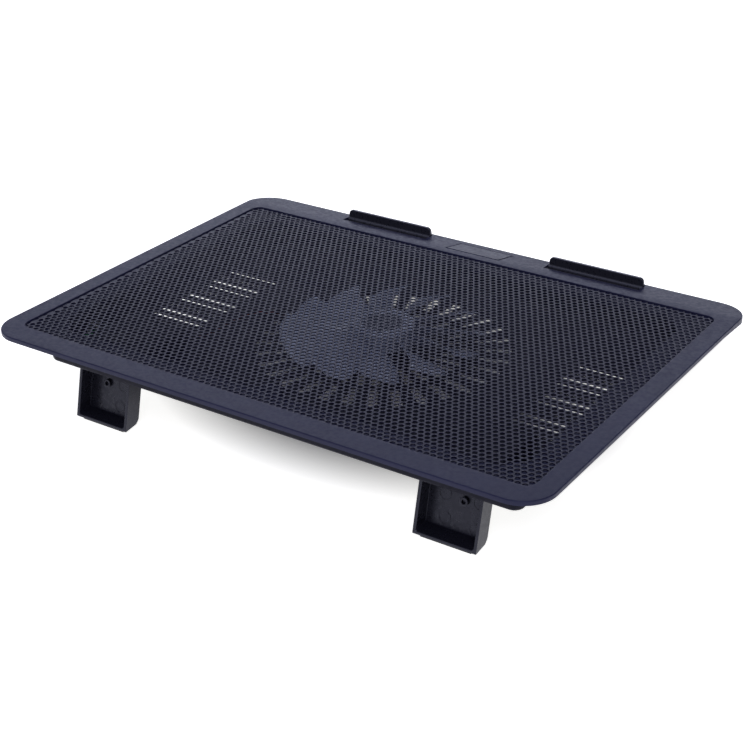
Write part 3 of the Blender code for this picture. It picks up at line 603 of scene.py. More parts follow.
ring(lipin(0.0), RIM_UNDER - 0.1)
ring(lipin(0.0), lip(0.1))
ring(lipin(0.1), lip(0.0))

bm = bmesh.new()
vs = [[bm.verts.new(p) for p in r] for r in rings]
for i in range(len(vs)):
    a, b = vs[i], vs[(i + 1) % len(vs)]
    for k in range(len(a)):
        k2 = (k + 1) % len(a)
        bm.faces.new((a[k], a[k2], b[k2], b[k]))
frame_me = to_mesh(bm)

slope = math.atan2(STRIP_DROP, CREASE_Y - Y_FRONT)


def on_strip(me):
    me.transform(Matrix.Translation(Vector((0, CREASE_Y, RIM_TOP))) @ Matrix.Rotation(slope, 4, 'X'))
    return me


def flared(loop, z_low, z_edge, z_high, flare):
    """A cutter that opens out at z_edge, so that it leaves a small chamfer on the rim it cuts."""
    cx = sum(p[0] for p in loop) / len(loop)
    cy = sum(p[1] for p in loop) / len(loop)
    wide = []
    for i, p in enumerate(loop):
        a, b = Vector(loop[i - 1]), Vector(loop[(i + 1) % len(loop)])
        c = Vector(p)
        n1 = Vector(((c - a).y, -(c - a).x)).normalized()
        n2 = Vector(((b - c).y, -(b - c).x)).normalized()
        n = n1 + n2
        n = n / max(n.length_squared / 2, 0.3)
        s = 1.0 if n.dot(c - Vector((cx, cy))) > 0 else -1.0
        wide.append((p[0] + n.x * flare * s, p[1] + n.y * flare * s))
    rings_ = [[(x, y, z_low) for x, y in loop], [(x, y, z_edge - flare) for x, y in loop], [(x, y, z_edge) for x, y in wide], [(x, y, z_high) for x, y in wide]]
    return loft(rings_)


ops = []
ops.append(('DIFFERENCE', joined([prism(rounded_rect(x0, x1, -127.0, -115.5, 1.5, 4), -12.0, -2.5) for x0, x1 in
                                  ((-158.0, -114.5), (-41.0, 34.0), (108.0, 158.0))])))
ops.append(('UNION', joined([rod((x, y, -7.35), 'Z', 3.2, 9.3, 32) for x, y in SCREWS[:5]])))
ops.append(('UNION', joined([prism([(7.0, 104.0), (-7.0, 104.0), (-7.0, 94.5), (-5.0, 92.5), (5.0, 92.5), (7.0, 94.5)], -3.5, -1.35)])))
ops.append(('UNION', joined([rod((SCREWS[5][0], SCREWS[5][1], -7.35), 'Z', 3.2, 9.3, 32)])))
ops.append(('DIFFERENCE', joined([lathe(soften([(0, -12.4), (1.9, -12.4), (1.6, -12.0), (1.6, -5.4), (0, -5.4)], 0.05, 1), 24, (x, y, 0)) for x, y in SCREWS])))
pocket_tools, axle_tools = [], []
for side, sx in SIDES:
    cx, hl = sx * STOP_X + STOP_SHIFT, STOP_LEN / 2 + 0.4
    yb = STOP_AXIS_Y + STOP_BARREL_R + 0.4
    zt = RIM_TOP - strip_drop(-123.0)
    pocket_tools.append(side_prism([(STOP_POCKET_Y0, 5.0), (STOP_POCKET_Y0, LIP_BOTTOM - 2.0), (yb, LIP_BOTTOM - 2.0),
                                    (yb, STOP_POCKET_Z), (STOP_POCKET_Y1, STOP_POCKET_Z), (STOP_POCKET_Y1, 5.0)], cx - hl, cx + hl))
    axle_tools.append(joined([rod((cx + e * (hl + 0.8), STOP_AXIS_Y, STOP_AXIS_Z), 'X', 1.0, 3.4, 24) for e in (-1, 1)]))
ops.append(('DIFFERENCE', joined(pocket_tools)))
ops.append(('DIFFERENCE', joined(axle_tools)))
BADGE = [(19.4, -1.0), (-17.1, -1.0), (-20.5, -13.4), (15.9, -13.4)]
seat = [(x + (0.8 if x > 0 else -0.8), y + (0.6 if y > -5 else -0.6)) for x, y in BADGE]
ops.append(('DIFFERENCE', on_strip(flared(seat, -0.9, 0.05, 2.0, 0.18))))
frame_me = carve(frame_me, *ops)
frame_ob = piece("frame_moulding", frame_me, M_FRAME, "platform", ("top_frame",), smooth=32)

badge = prism(soften(BADGE, 0.6, 4, closed=True), -0.6, 0.05, bevels=((lambda c: c.z > 0.04, 0.12),), segs=3)
piece("blank_plate", on_strip(badge), M_BADGE, "platform", ("name_plate",))

# ------------------------------------------------------------------ perforated sheet
sx0, sx1, sy0, sy1 = -MESH_X + 0.45, MESH_X - 0.45, MESH_Y0 + 0.45, MESH_Y1 - 0.45
sr = MESH_R - 0.45


def inside_distance(x, y):
    """Distance inside the sheet's outline, negative outside."""
    dx = max(sx0 + sr - x, x - sx1 + sr, 0.0)
    dy = max(sy0 + sr - y, y - sy1 + sr, 0.0)
    if dx > 0 and dy > 0:
        return sr - math.hypot(dx, dy)
    return min(x - sx0, sx1 - x, y - sy0, sy1 - y)


cdt_v = [Vector(p) for p in rounded_rect(sx0, sx1, sy0, sy1, sr, 8)]
cdt_f = [list(range(len(cdt_v)))]
for j in range(-34, 36):
    y = 1.52 + j * HOLE_PY
    for i in range(-45, 46):
        x = 1.08 + (i + 0.5 * (j % 2)) * HOLE_PX
        d = inside_distance(x, y)
        if d < -HOLE_R + 0.5 or abs(d - HOLE_R) < 0.12:
            continue
        k = len(cdt_v)
        cdt_v += [Vector(p) for p in circle(x, y, HOLE_R, HOLE_N, math.pi / HOLE_N)]
        cdt_f.append(list(range(k, k + HOLE_N)))
tv, te, tf, _, _, tof = geometry.delaunay_2d_cdt(cdt_v, [], cdt_f, 1, 1e-6)
kept = [f for f, o in zip(tf, tof) if o == [0]]
bm = bmesh.new()
used = sorted({v for f in kept for v in f})
top = {v: bm.verts.new((tv[v].x, tv[v].y, 0.0)) for v in used}
bot = {v: bm.verts.new((tv[v].x, tv[v].y, -SHEET_T)) for v in used}
rim = {}
for f in kept:
    bm.faces.new([top[v] for v in f])
    bm.faces.new([bot[v] for v in reversed(f)])
    for a, b in zip(f, f[1:] + f[:1]):
        if (b, a) in rim:
            del rim[(b, a)]
        else:
            rim[(a, b)] = True
for a, b in rim:
    bm.faces.new((top[b], top[a], bot[a], bot[b]))
print('sheet triangles', sum(len(f) - 2 for f in kept) * 2 + len(rim) * 2)
sheet_ob = piece("perforated_sheet", to_mesh(bm), M_SHEET, "platform", ("mesh_panel",), smooth=50, weighted=False)

# ------------------------------------------------------------------ casing
shell = prism(rounded_rect(-CASE_X, CASE_X, CASE_Y0, CASE_Y1, CASE_R, 10), CASE_BOTTOM, CASE_TOP,
              bevels=((lambda c: c.z < CASE_BOTTOM + 0.01, 2.0), (lambda c: c.z > CASE_TOP - 0.01, 0.3)), segs=4)
inside = prism(rounded_rect(-CASE_X + WALL, CASE_X - WALL, CASE_Y0 + WALL, CASE_Y1 - WALL, CASE_R - WALL, 8), FLOOR_TOP, 2.0,
               bevels=((lambda c: c.z < FLOOR_TOP + 0.01, 1.0),), segs=3)
pocket_add, pocket_cut, pin_cut = [], [], []
for side, sx in SIDES:
    xa, xb = sorted((sx * (LEG_XI - POCKET_GAP), sx * (LEG_XO + POCKET_GAP)))
    pocket_add.append(box(xa - 1.8, xb + 1.8, POCKET_Y0 - 1.8, CASE_Y1 - 1.0, CASE_BOTTOM + 0.5, POCKET_TOP + 1.8, 0.6, 2))
    loop = rounded_rect(xa, xb, POCKET_Y0, POCKET_Y1, 0.8, 3)
    wide = rounded_rect(xa - 0.6, xb + 0.6, POCKET_Y0 - 0.6, POCKET_Y1 + 0.4, 1.2, 3)
    pocket_cut.append(loft([[(x, y, POCKET_TOP) for x, y in loop], [(x, y, CASE_BOTTOM + 0.6) for x, y in loop],
                            [(x, y, CASE_BOTTOM) for x, y in wide], [(x, y, CASE_BOTTOM - 3.0) for x, y in wide]]))
    pin_cut.append(rod(((xa + xb) / 2, LEG_AXIS_Y, LEG_AXIS_Z), 'X', PIN_R + 0.3, xb - xa + 8.0, 24))
posts = [rod((x, y, -16.4), 'Z', 4.4, 8.2, 32) for x, y in SCREWS]
posts += [rod((141.0, y, -19.2), 'Z', 1.5, 2.6, 16) for y in (64.5, 75.5)] + [rod((0.0, FAN_Y, -20.5), 'Z', 17.0, 1.0, 96)]
motor_at = [(MOTOR_SCREW_R * math.cos(math.radians(a)), FAN_Y + MOTOR_SCREW_R * math.sin(math.radians(a))) for a in (90, 210, 330)]
holes = [rod((x, y, -16.0), 'Z', 1.6, 16.0, 20) for x, y in SCREWS] + [rod((x, y, -21.0), 'Z', 1.4, 6.0, 16) for x, y in motor_at]
heads = [lathe([(0, -17.3), (3.1, -17.3), (3.1, -21.5), (3.7, -22.1), (3.7, -25.0), (0, -25.0)], 32, (x, y, 0)) for x, y in SCREWS]
heads += [lathe([(0, -21.0), (2.4, -21.0), (2.4, -21.75), (2.75, -22.1), (2.75, -23.8), (0, -23.8)], 24, (x, y, 0)) for x, y in motor_at]
feet = [(sx * fx, fy) for fx, fy in (FRONT_FOOT, REAR_FOOT) for sx in (1, -1)]
seats = [rod((x, y, FOOT_SEAT - 2.7), 'Z', FOOT_R + 0.3, 6.0, 40) for x, y in feet]


def vent(loop, flare=0.35):
    """Vent cutter, opened out a little on the casing's underside and inside."""
    cx = sum(p[0] for p in loop) / len(loop)
    cy = sum(p[1] for p in loop) / len(loop)
    big = []
    for i, p in enumerate(loop):
        a, b, c = Vector(loop[i - 1]), Vector(loop[(i + 1) % len(loop)]), Vector(p)
        n1 = Vector(((c - a).y, -(c - a).x)).normalized()
        n2 = Vector(((b - c).y, -(b - c).x)).normalized()
        n = n1 + n2
        n = n / max(n.length_squared / 2, 0.3)
        s = 1.0 if n.dot(c - Vector((cx, cy))) > 0 else -1.0
        big.append((p[0] + n.x * flare * s, p[1] + n.y * flare * s))
    zz = ((CASE_BOTTOM - 2.0, big), (CASE_BOTTOM - 0.01, big), (CASE_BOTTOM + flare, loop), (FLOOR_TOP - flare, loop), (FLOOR_TOP + 0.01, big), (FLOOR_TOP + 1.0, big))
    return loft([[(x, y, z) for x, y in lp] for z, lp in zz])


rays = []
for r0, r1 in SLOT_RINGS:
    half = SLOT_ANGLE / 2 * (1.25 if r1 < 52 else 1.0)
    for i in range(SLOTS):
        mid = (i + 0.5) * 360.0 / SLOTS
        pts = []
        for r, a in ((r0, mid - half), (r1, mid - half), (r1, mid), (r1, mid + half), (r0, mid + half), (r0, mid)):
            pts.append((r * math.cos(math.radians(a)), FAN_Y + r * math.sin(math.radians(a))))
        rays.append(vent(soften(pts, 0.7, 2, closed=True), 0.22))
for sx in (1, -1):
    for i in range(SIDE_SLOTS):
        y = SIDE_YC + (i - (SIDE_SLOTS - 1) / 2) * SIDE_PITCH
        xa, xb = sorted((sx * SIDE_X0, sx * SIDE_X1))
        rays.append(vent(rounded_rect(xa, xb, y - SIDE_W / 2, y + SIDE_W / 2, SIDE_W / 2 - 0.1, 4), 0.3))
window = box(148.0, 156.0, INLET_Y - 4.5, INLET_Y + 4.5, INLET_Z - 2.7, INLET_Z + 2.7, 0.6, 2)
# shallow rings moulded into the underside round the vents
groove = []
for r in (77.0, 80.0):
    prof = [(r - 0.5, CASE_BOTTOM - 1.0), (r + 0.5, CASE_BOTTOM - 1.0), (r + 0.5, CASE_BOTTOM + 0.25), (r, CASE_BOTTOM + 0.45), (r - 0.5, CASE_BOTTOM + 0.25)]
    groove.append(lathe(prof, 120, (0.0, FAN_Y, 0.0), closed=True))
shell = carve(shell, ('DIFFERENCE', inside), ('UNION', joined(pocket_add)), ('UNION', joined(posts)), ('DIFFERENCE', joined(pocket_cut)),
              ('DIFFERENCE', joined(pin_cut)), ('DIFFERENCE', joined(holes)), ('DIFFERENCE', joined(heads)), ('DIFFERENCE', joined(seats)),
              ('DIFFERENCE', joined(rays)), ('DIFFERENCE', window), ('DIFFERENCE', joined(groove)))
piece("casing_tray", shell, M_CASE, "platform", ("bottom_shell",), smooth=32)

# ------------------------------------------------------------------ rubber feet
for nm, (fx, fy) in (("front_foot", FRONT_FOOT), ("rear_foot", REAR_FOOT)):
    for side, sx in SIDES:
        prof = [(0.0, FOOT_SEAT), (FOOT_R - 0.2, FOOT_SEAT), (FOOT_R, FOOT_SEAT - 0.2), (FOOT_R, FOOT_BOTTOM + 0.7), (FOOT_R - 0.15, FOOT_BOTTOM + 0.25),
                (FOOT_R - 0.6, FOOT_BOTTOM), (3.6, FOOT_BOTTOM), (3.4, FOOT_BOTTOM + 0.35), (2.9, FOOT_BOTTOM + 0.35), (2.7, FOOT_BOTTOM), (0.0, FOOT_BOTTOM)]
        piece("rubber_%s_%s" % (nm, side), lathe(soften(prof, 0.12, 2), 56, (sx * fx, fy, 0.0)), M_RUBBER, "platform",
              ("%s_%s" % (nm, side),))

# ------------------------------------------------------------------ legs
lean = math.radians(LEG_LEAN)
half = LEG_T / 2
tt = lean + TILT
sole_z = lambda y: -LEG_LEN + (half - y) * math.tan(tt)
inner_floor = lambda y: sole_z(y) + LEG_WALL / math.cos(tt)
LEG = {}
for side, sx in SIDES:
    to_leg = Matrix.Translation(Vector((0, LEG_AXIS_Y, LEG_AXIS_Z))) @ Matrix.Rotation(lean, 4, 'X')
    LEG[side] = TO_WORLD @ to_leg
    xa, xb = sorted((sx * LEG_XI, sx * LEG_XO))
    arc = [(half * math.cos(math.radians(a)), half * math.sin(math.radians(a))) for a in range(0, 181, 9)]
    low = soften([(-half, 0.0), (-half, sole_z(-half) + 2.2), (-half + 1.6, sole_z(-half + 1.6)), (half, -LEG_LEN), (half, 0.0)], 0.9, 4)[1:-1]
    body = side_prism(arc + low, xa, xb, bevels=((lambda c: abs(c.z - xa) < 0.01, 0.3), (lambda c: abs(c.z - xb) < 0.01, 0.3)), segs=3)
    tx0, tx1 = xa + LEG_WALL, xb - LEG_WALL
    levels = [(-half + LEG_WALL, 0.55), (-half + LEG_WALL + 0.16, 0.16), (-half + LEG_WALL + 0.55, 0.0), (0.0, 0.0), (half - 0.3, 0.0), (half, -0.28), (half + 3.0, -0.28)]
    rr = []
    for y, inset in levels:
        zl, zh = inner_floor(y) + inset, -half - 0.9 - inset
        rr.append([(px, y, pz) for px, pz in rounded_rect(tx0 + inset, tx1 - inset, zl, zh, 1.1, 5)])
    tray = loft(rr)
    fl = -half + LEG_WALL
    marks, bosses = [], []
    cxm = (xa + xb) / 2
    for u, v in ((-7.1, -14.6), (12.6, -14.4), (12.2, -28.6), (-5.7, -27.2)):
        marks.append(lathe([(3.42, -0.22), (3.42, 0.5), (3.12, 0.5), (3.12, -0.22)], 40, closed=True))
        marks[-1].transform(Matrix.Translation((cxm + u * sx, fl, v)) @ Matrix.Rotation(-math.pi / 2, 4, 'X'))
    bosses.append(lathe(soften([(0, -0.8), (2.35, -0.8), (2.35, 1.5), (1.25, 1.5), (1.25, 0.3), (0, 0.3)], 0.15, 2), 36))
    bosses[-1].transform(Matrix.Translation((cxm + 4.1 * sx, fl, -15.5)) @ Matrix.Rotation(-math.pi / 2, 4, 'X'))
    bore = rod((cxm, 0, 0), 'X', PIN_R + 0.3, xb - xa + 6.0, 28)
    leg_me = carve(body, ('DIFFERENCE', tray), ('DIFFERENCE', bore), ('UNION', joined(bosses)), ('DIFFERENCE', joined(marks)))
    piece("leg_tray_%s" % side, leg_me, M_LEG, "%s_leg" % side, ("leg_%s" % side,), smooth=32, matrix=LEG[side])
    o = lambda y, d: (y - d * math.sin(tt), sole_z(y) - d * math.cos(tt))
    y0, y1 = -half + 2.4, half - 1.6
    # three low treads run along the sole strip
    n = 3
    lower = []
    for k in range(n):
        a0, a1 = y0 + (y1 - y0) * (k / n), y0 + (y1 - y0) * ((k + 1) / n)
        g = 0.35
        lower += ([o(a0, PAD_T)] if k == 0 else [o(a0 + g / 2, PAD_T - 0.0)]) + ([o(a1, PAD_T)] if k == n - 1 else [o(a1 - g / 2, PAD_T), o(a1, PAD_T - 0.35)])
    strip = [o(y1, 0.3), o(y0, 0.3)] + lower
    pad_me = side_prism(soften(strip, 0.08, 2, closed=True), xa + 3.6, xb - 3.6,
                        bevels=((lambda c: abs(c.z - xa - 3.6) < 0.01, 0.12), (lambda c: abs(c.z - xb + 3.6) < 0.01, 0.12)), segs=2)
    piece("sole_strip_%s" % side, pad_me, M_RUBBER, "%s_leg" % side, ("leg_pad_%s" % side,), matrix=LEG[side])

# ------------------------------------------------------------------ flip-up stops
for side, sx in SIDES:
    hl, r = STOP_LEN / 2, 2.9
    flap = [(hl, -0.2)]
    flap += [(hl - r + r * math.cos(math.radians(a)), STOP_H - r + r * math.sin(math.radians(a))) for a in range(0, 91, 9)]
    flap += [(-hl + r + r * math.cos(math.radians(a)), STOP_H - r + r * math.sin(math.radians(a))) for a in range(90, 181, 9)]
    flap += [(-hl, -0.2)]
    me = prism(flap, 0.0, STOP_T, bevels=((lambda c: c.z < 0.01 and c.y > 0.0, 0.5), (lambda c: c.z > STOP_T - 0.01 and c.y > 0.0, 0.7)), segs=4)
    me.transform(Matrix(((1, 0, 0, 0), (0, 0, -1, 0), (0, 1, 0, 0), (0, 0, 0, 1))))
    barrel = lathe(soften([(0, -hl + 0.1), (STOP_BARREL_R, -hl + 0.1), (STOP_BARREL_R, hl - 0.1), (0, hl - 0.1)], 0.3, 3), 40)
    barrel.transform(Matrix.Rotation(math.pi / 2, 4, 'Y'))
    axle = lathe(soften([(0, -hl - 1.8), (0.7, -hl - 1.8), (0.7, hl + 1.8), (0, hl + 1.8)], 0.15, 2), 24)
    axle.transform(Matrix.Rotation(math.pi / 2, 4, 'Y'))
    me = carve(me, ('UNION', barrel), ('UNION', axle))
    bm = bmesh.new()
    bm.from_mesh(me)
    bmesh.ops.remove_doubles(bm, verts=bm.verts, dist=0.01)
    bm.to_mesh(me)
    bm.free()
    at = Matrix.Translation(Vector((sx * STOP_X + STOP_SHIFT, STOP_AXIS_Y, STOP_AXIS_Z)))
    piece("flip_stop_%s" % side, me, M_STOP, "%s_stop" % side, ("stop_%s" % side,), smooth=32, matrix=TO_WORLD @ at)

# ------------------------------------------------------------------ fan rotor
FAN_AT = TO_WORLD @ Matrix.Translation(Vector((0, FAN_Y, 0)))
hub_prof = [(0.0, HUB_TOP - 0.9), (LABEL_R + 0.5, HUB_TOP - 0.9), (LABEL_R + 0.9, HUB_TOP), (HUB_R - 1.6, HUB_TOP), (HUB_R - 0.4, HUB_TOP - 0.5),
            (HUB_R, HUB_TOP - 1.6), (HUB_R, HUB_BOTTOM), (HUB_IN_R, HUB_BOTTOM), (HUB_IN_R, HUB_IN_TOP),
            (3.4, HUB_IN_TOP), (3.4, HUB_IN_TOP - 0.9), (1.6, HUB_IN_TOP - 0.9), (1.6, HUB_TOP - 2.3), (0.0, HUB_TOP - 2.3)]
hub = lathe(soften(hub_prof, 0.35, 3), 96)


def blade_point(t, s, k):
    r = 18.3 + (BLADE_TIP_R - 18.3) * t
    lead = 360.0 / BLADES * k + 82.0 - 5.0 * t + 3.0 * math.sin(math.pi * t)
    a = math.radians(lead + s * (19.0 + 5.0 * t))
    drop = (10.6 - 2.2 * t) * (s ** 0.9)
    return Vector((r * math.cos(a), r * math.sin(a), -6.4 - 0.5 * t - drop))


NR, NC = 18, 9
blades = []
for k in range(BLADES):
    # a closed skin either side of the mid surface, thinning towards its edges
    grid = []
    for i in range(NR + 1):
        row = []
        for j in range(NC + 1):
            t, s = i / NR, j / NC
            if i == NR:
                t -= 0.0
            tip = t - 0.05 * (abs(2 * s - 1) ** 2) * (t ** 6)
            row.append(blade_point(tip, s, k))
        grid.append(row)
    up_, dn = [], []
    for i in range(NR + 1):
        ru, rd = [], []
        for j in range(NC + 1):
            p = grid[i][j]
            du = grid[min(i + 1, NR)][j] - grid[max(i - 1, 0)][j]
            dv = grid[i][min(j + 1, NC)] - grid[i][max(j - 1, 0)]
            n = du.cross(dv).normalized()
            if n.z < 0:
                n = -n
            s, t = j / NC, i / NR
            edge = min(s, 1 - s) / 0.12
            w = BLADE_T / 2 * min(1.0, 0.35 + 0.65 * min(1.0, edge)) * (1.0 if t < 0.97 else 0.55)
            ru.append(p + n * w)
            rd.append(p - n * w)
        up_.append(ru)
        dn.append(rd)
    bm = bmesh.new()
    U = [[bm.verts.new(p) for p in row] for row in up_]
    D = [[bm.verts.new(p) for p in row] for row in dn]
    for i in range(NR):
        for j in range(NC):
            bm.faces.new((U[i][j], U[i + 1][j], U[i + 1][j + 1], U[i][j + 1]))
            bm.faces.new((D[i][j], D[i][j + 1], D[i + 1][j + 1], D[i + 1][j]))
    for i in range(NR):
        bm.faces.new((U[i][0], D[i][0], D[i + 1][0], U[i + 1][0]))
        bm.faces.new((U[i][NC], U[i + 1][NC], D[i + 1][NC], D[i][NC]))
    for j in range(NC):
        bm.faces.new((U[0][j], U[0][j + 1], D[0][j + 1], D[0][j]))
        bm.faces.new((U[NR][j], D[NR][j], D[NR][j + 1], U[NR][j + 1]))
    blades.append(to_mesh(bm))
rotor = carve(hub, ('UNION', joined(blades)))
piece("fan_impeller", rotor, M_FAN, "fan", ("fan_rotor",), smooth=40, matrix=FAN_AT)
label = lathe(soften([(0.0, HUB_TOP - 0.35), (LABEL_R, HUB_TOP - 0.35), (LABEL_R, HUB_TOP - 0.6), (0.0, HUB_TOP - 0.6)], 0.08, 2), 80)
piece("hub_sticker", label, M_LABEL, "fan", ("hub_label",), matrix=FAN_AT)


# ------------------------------------------------------------------ screws with crossed recesses
def screw(at, profile, recess_z, size, steps=28):
    """Turned screw, head down, with a crossed recess in its head."""
    me = lathe(soften(profile, 0.18, 2), steps)
    cross = []
    for rot in (0.0, math.pi / 2):
        wedge = loft([[(-size, -size * 0.22, recess_z - 0.6), (size, -size * 0.22, recess_z - 0.6), (size, size * 0.22, recess_z - 0.6), (-size, size * 0.22, recess_z - 0.6)],
                      [(-size * 0.45, -size * 0.14, recess_z + 1.0), (size * 0.45, -size * 0.14, recess_z + 1.0), (size * 0.45, size * 0.14, recess_z + 1.0), (-size * 0.45, size * 0.14, recess_z + 1.0)]])
        wedge.transform(Matrix.Rotation(rot + (0.0 if rot else 0.0), 4, 'Z'))
        cross.append(wedge)
    me = carve(me, ('DIFFERENCE', cross[0]), ('DIFFERENCE', cross[1]))
    me.transform(Matrix.Translation(Vector((at[0], at[1], 0.0))) @ Matrix.Rotation(0.4 + at[0] * 0.13, 4, 'Z'))
    return me


for k, (x, y) in enumerate(SCREWS):
    me = screw((x, y), [(0.0, -6.0), (0.7, -6.0), (1.25, -7.2), (1.25, -17.6), (2.7, -17.6), (2.7, -18.3), (2.1, -19.0), (0.0, -19.2)], -19.2, 1.5)
    piece("casing_screw_%d" % (k + 1), me, M_STEEL, "platform", ("case_screw_%d" % (k + 1),))
for k, (x, y) in enumerate(motor_at):
    me = screw((x, y), [(0.0, -18.4), (1.0, -18.4), (1.0, -21.4), (2.0, -21.4), (2.0, -21.6), (1.5, -21.95), (0.0, -22.0)], -22.0, 1.1)
    piece("stator_screw_%d" % (k + 1), me, M_STEEL, "platform", ("motor_screw_%d" % (k + 1),))

# ------------------------------------------------------------------ power inlet and internal lead
shell_me = side_prism(soften([(INLET_Y - 4.0, INLET_Z - 2.2), (INLET_Y + 4.0, INLET_Z - 2.2), (INLET_Y + 4.0, INLET_Z + 2.2), (INLET_Y - 4.0, INLET_Z + 2.2)], 0.7, 4, closed=True), 142.4, 151.9)
mouth = side_prism(soften([(INLET_Y - 3.5, INLET_Z - 1.7), (INLET_Y + 3.5, INLET_Z - 1.7), (INLET_Y + 3.5, INLET_Z + 1.7), (INLET_Y - 3.5, INLET_Z + 1.7)], 0.4, 4, closed=True), 143.4, 156.0)
slots = joined([box(145.4, 147.6, y - 0.6, y + 0.6, INLET_Z + 1.5, INLET_Z + 3.0) for y in (INLET_Y - 1.9, INLET_Y + 1.9)])
piece("inlet_shell", carve(shell_me, ('DIFFERENCE', mouth), ('DIFFERENCE', slots)), M_STEEL, "platform", ("usb_inlet",))

route = [(18.2, -10.5, -18.9), (40.0, -10.5, -18.9), (60.0, -10.5, -18.9), (78.0, -10.0, -18.9), (89.0, -2.0, -18.9), (91.5, 14.0, -18.9),
         (92.0, 32.0, -18.9), (97.0, 43.0, -18.9), (112.0, 46.0, -18.9), (130.0, 46.5, -18.9), (141.0, 49.5, -18.9), (144.5, 56.0, -18.9),
         (145.0, 61.0, -18.9)]


def smooth_route(pts, n):
    out_ = []
    p = [Vector(pts[0])] + [Vector(q) for q in pts] + [Vector(pts[-1])]
    for i in range(1, len(p) - 2):
        for k in range(n):
            t = k / n
            out_.append(0.5 * ((2 * p[i]) + (p[i + 1] - p[i - 1]) * t + (2 * p[i - 1] - 5 * p[i] + 4 * p[i + 1] - p[i + 2]) * t * t
                               + (3 * p[i] - p[i - 1] - 3 * p[i + 1] + p[i + 2]) * t ** 3))
    out_.append(p[-2])
    return out_


def tube(pts, r, seg=12):
    rings_ = []
    for i, p in enumerate(pts):
        t = (pts[min(i + 1, len(pts) - 1)] - pts[max(i - 1, 0)]).normalized()
        u = t.cross(Vector((0, 0, 1))).normalized()
        v = u.cross(t)
        rings_.append([tuple(p + u * r * math.cos(a) + v * r * math.sin(a)) for a in [2 * math.pi * k / seg for k in range(seg)]])
    return loft(rings_)


fine = smooth_route(route, 14)
for nm, phase, mat in (("lead_wire_black", 0.0, M_WIRE), ("lead_wire_red", math.pi, M_WIRE_RED)):
    pts, run = [], 0.0
    for i, p in enumerate(fine):
        if i:
            run += (p - fine[i - 1]).length
        t = (fine[min(i + 1, len(fine) - 1)] - fine[max(i - 1, 0)]).normalized()
        u = t.cross(Vector((0, 0, 1))).normalized()
        a = phase + run / 7.0 * 2 * math.pi
        pts.append(p + u * 0.42 * math.cos(a) + Vector((0, 0, 1)) * 0.40 * math.sin(a))
    ob = piece(nm, tube(pts, 0.40), mat, "platform", ("fan_lead",) if mat is M_WIRE else (), weighted=False)

# ------------------------------------------------------------------ stage, light, camera
bm = bmesh.new()
bmesh.ops.create_circle(bm, cap_ends=True, segments=96, radius=9.0)
bm.normal_update()
for f in bm.faces:
    if f.normal.z < 0:
        f.normal_flip()
floor_me = to_mesh(bm, "floor")
mf, nt, b = node_material("floor_glow_and_painted_shadow")
co = nt.nodes.new("ShaderNodeTexCoord").outputs["Object"]
n1 = noise_tex(nt, co, 1.5, 4.0)
link(nt, mix_colour(nt, remap(nt, n1, 0.0, 1.0), (0.86, 0.86, 0.865), (0.89, 0.89, 0.89)), b.inputs["Base Color"])
b.inputs["Roughness"].default_value = 0.9
b.inputs["Specular IOR Level"].default_value = 0.1
# The floor glows by its own emission: strongly away from the pad, only faintly in an oval under it, which makes a
# painted shadow under the pad.
b.inputs["Emission Color"].default_value = (1.0, 0.995, 0.97, 1.0)
sep = nt.nodes.new("ShaderNodeSeparateXYZ")
link(nt, co, sep.inputs[0])
painted_shadow_oval = nt.nodes.new("ShaderNodeCombineXYZ")
for axis, span in (("X", 0.135), ("Y", 0.090)):
    dv = nt.nodes.new("ShaderNodeMath")
    dv.operation = 'DIVIDE'
    dv.inputs[1].default_value = span
    link(nt, sep.outputs[axis], dv.inputs[0])
    link(nt, dv.outputs["Value"], painted_shadow_oval.inputs[axis])
painted_shadow_radius = nt.nodes.new("ShaderNodeVectorMath")
painted_shadow_radius.operation = 'LENGTH'
link(nt, painted_shadow_oval.outputs[0], painted_shadow_radius.inputs[0])
# painted shadow: emission strength rises from 0.03 inside the oval under the pad to 0.90 outside it
link(nt, remap(nt, painted_shadow_radius.outputs["Value"], 0.03, 0.90, 0.72, 1.16), b.inputs["Emission Strength"])
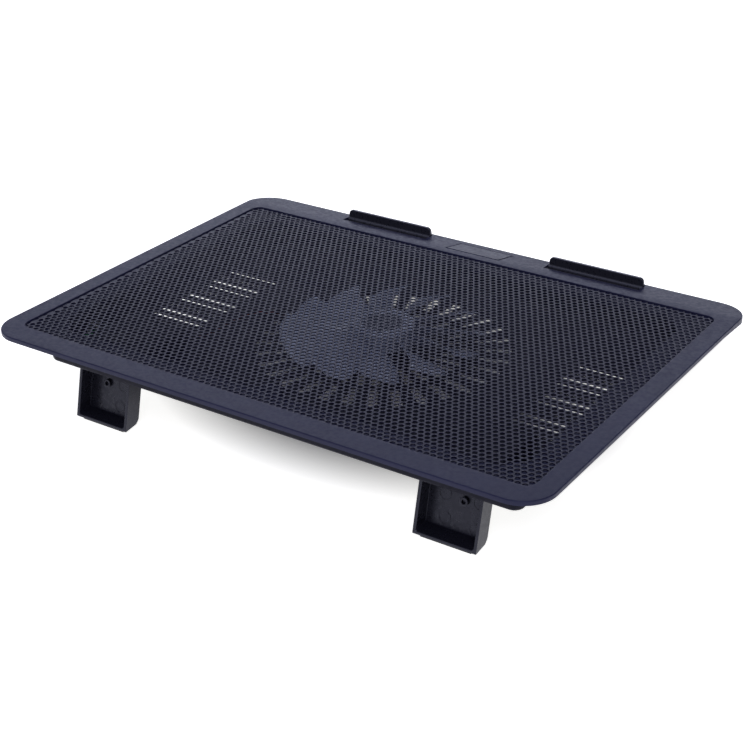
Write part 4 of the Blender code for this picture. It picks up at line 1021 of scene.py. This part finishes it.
# seen from below the floor is clear, so that the underside can be looked at
clear = nt.nodes.new("ShaderNodeBsdfTransparent")
side = nt.nodes.new("ShaderNodeMixShader")
link(nt, nt.nodes.new("ShaderNodeNewGeometry").outputs["Backfacing"], side.inputs[0])
link(nt, b.outputs[0], side.inputs[1])
link(nt, clear.outputs[0], side.inputs[2])
link(nt, side.outputs[0], nt.nodes["Material Output"].inputs["Surface"])
floor_me.materials.append(mf)
floor = bpy.data.objects.new("floor", floor_me)
bpy.context.scene.collection.objects.link(floor)
floor.location.z = -0.0002

world = bpy.data.worlds.new("studio")
bpy.context.scene.world = world
world.use_nodes = True
bg = world.node_tree.nodes["Background"]
bg.inputs["Color"].default_value = (0.78, 0.80, 1.0, 1.0)
bg.inputs["Strength"].default_value = 0.23


def softbox(name, loc, aim, size, watts, colour=(1, 1, 1)):
    l = bpy.data.lights.new(name, 'AREA')
    l.shape = 'RECTANGLE'
    l.size, l.size_y = size
    l.energy = watts
    l.color = colour
    ob = bpy.data.objects.new(name, l)
    bpy.context.scene.collection.objects.link(ob)
    ob.location = loc
    ob.rotation_mode = 'QUATERNION'
    ob.rotation_quaternion = (Vector(aim) - Vector(loc)).to_track_quat('-Z', 'Y')
    return ob


softbox("key", (-0.9, 1.1, 2.0), (0, 0, 0), (1.3, 1.3), 24.0, (0.90, 0.91, 1.0))
softbox("overhead", (0.3, -0.2, 2.2), (0, 0, 0), (2.2, 2.2), 12.0, (0.86, 0.88, 1.0))
softbox("rear_sheen", (1.35, -2.2, 0.62), (0, 0, 0), (2.2, 0.5), 13.0, (0.80, 0.84, 1.0))
softbox("fill", (1.8, 0.6, 1.0), (0, 0, 0.02), (1.4, 1.0), 5.0, (0.86, 0.88, 1.0))

scene = bpy.context.scene
scene.view_settings.view_transform = 'Standard'
scene.view_settings.look = 'None'
cam = bpy.data.cameras.new("camera")
cam.sensor_width = 36.0
cam.lens = 75.7657
cam_ob = bpy.data.objects.new("camera", cam)
scene.collection.objects.link(cam_ob)
scene.camera = cam_ob
R3 = F.to_3x3()
right = (R3 @ Vector((-0.8341, -0.55158, -0.00691))).normalized()
back = -(R3 @ Vector((0.49335, -0.74031, -0.45678))).normalized()
right = (right - back * right.dot(back)).normalized()
up = back.cross(right)
M = Matrix((right, up, back)).transposed().to_4x4()
M.translation = F @ (Vector((-450.462, 674.171, 381.401)) * MM)
cam_ob.matrix_world = M
cam.clip_start, cam.clip_end = 0.05, 50.0
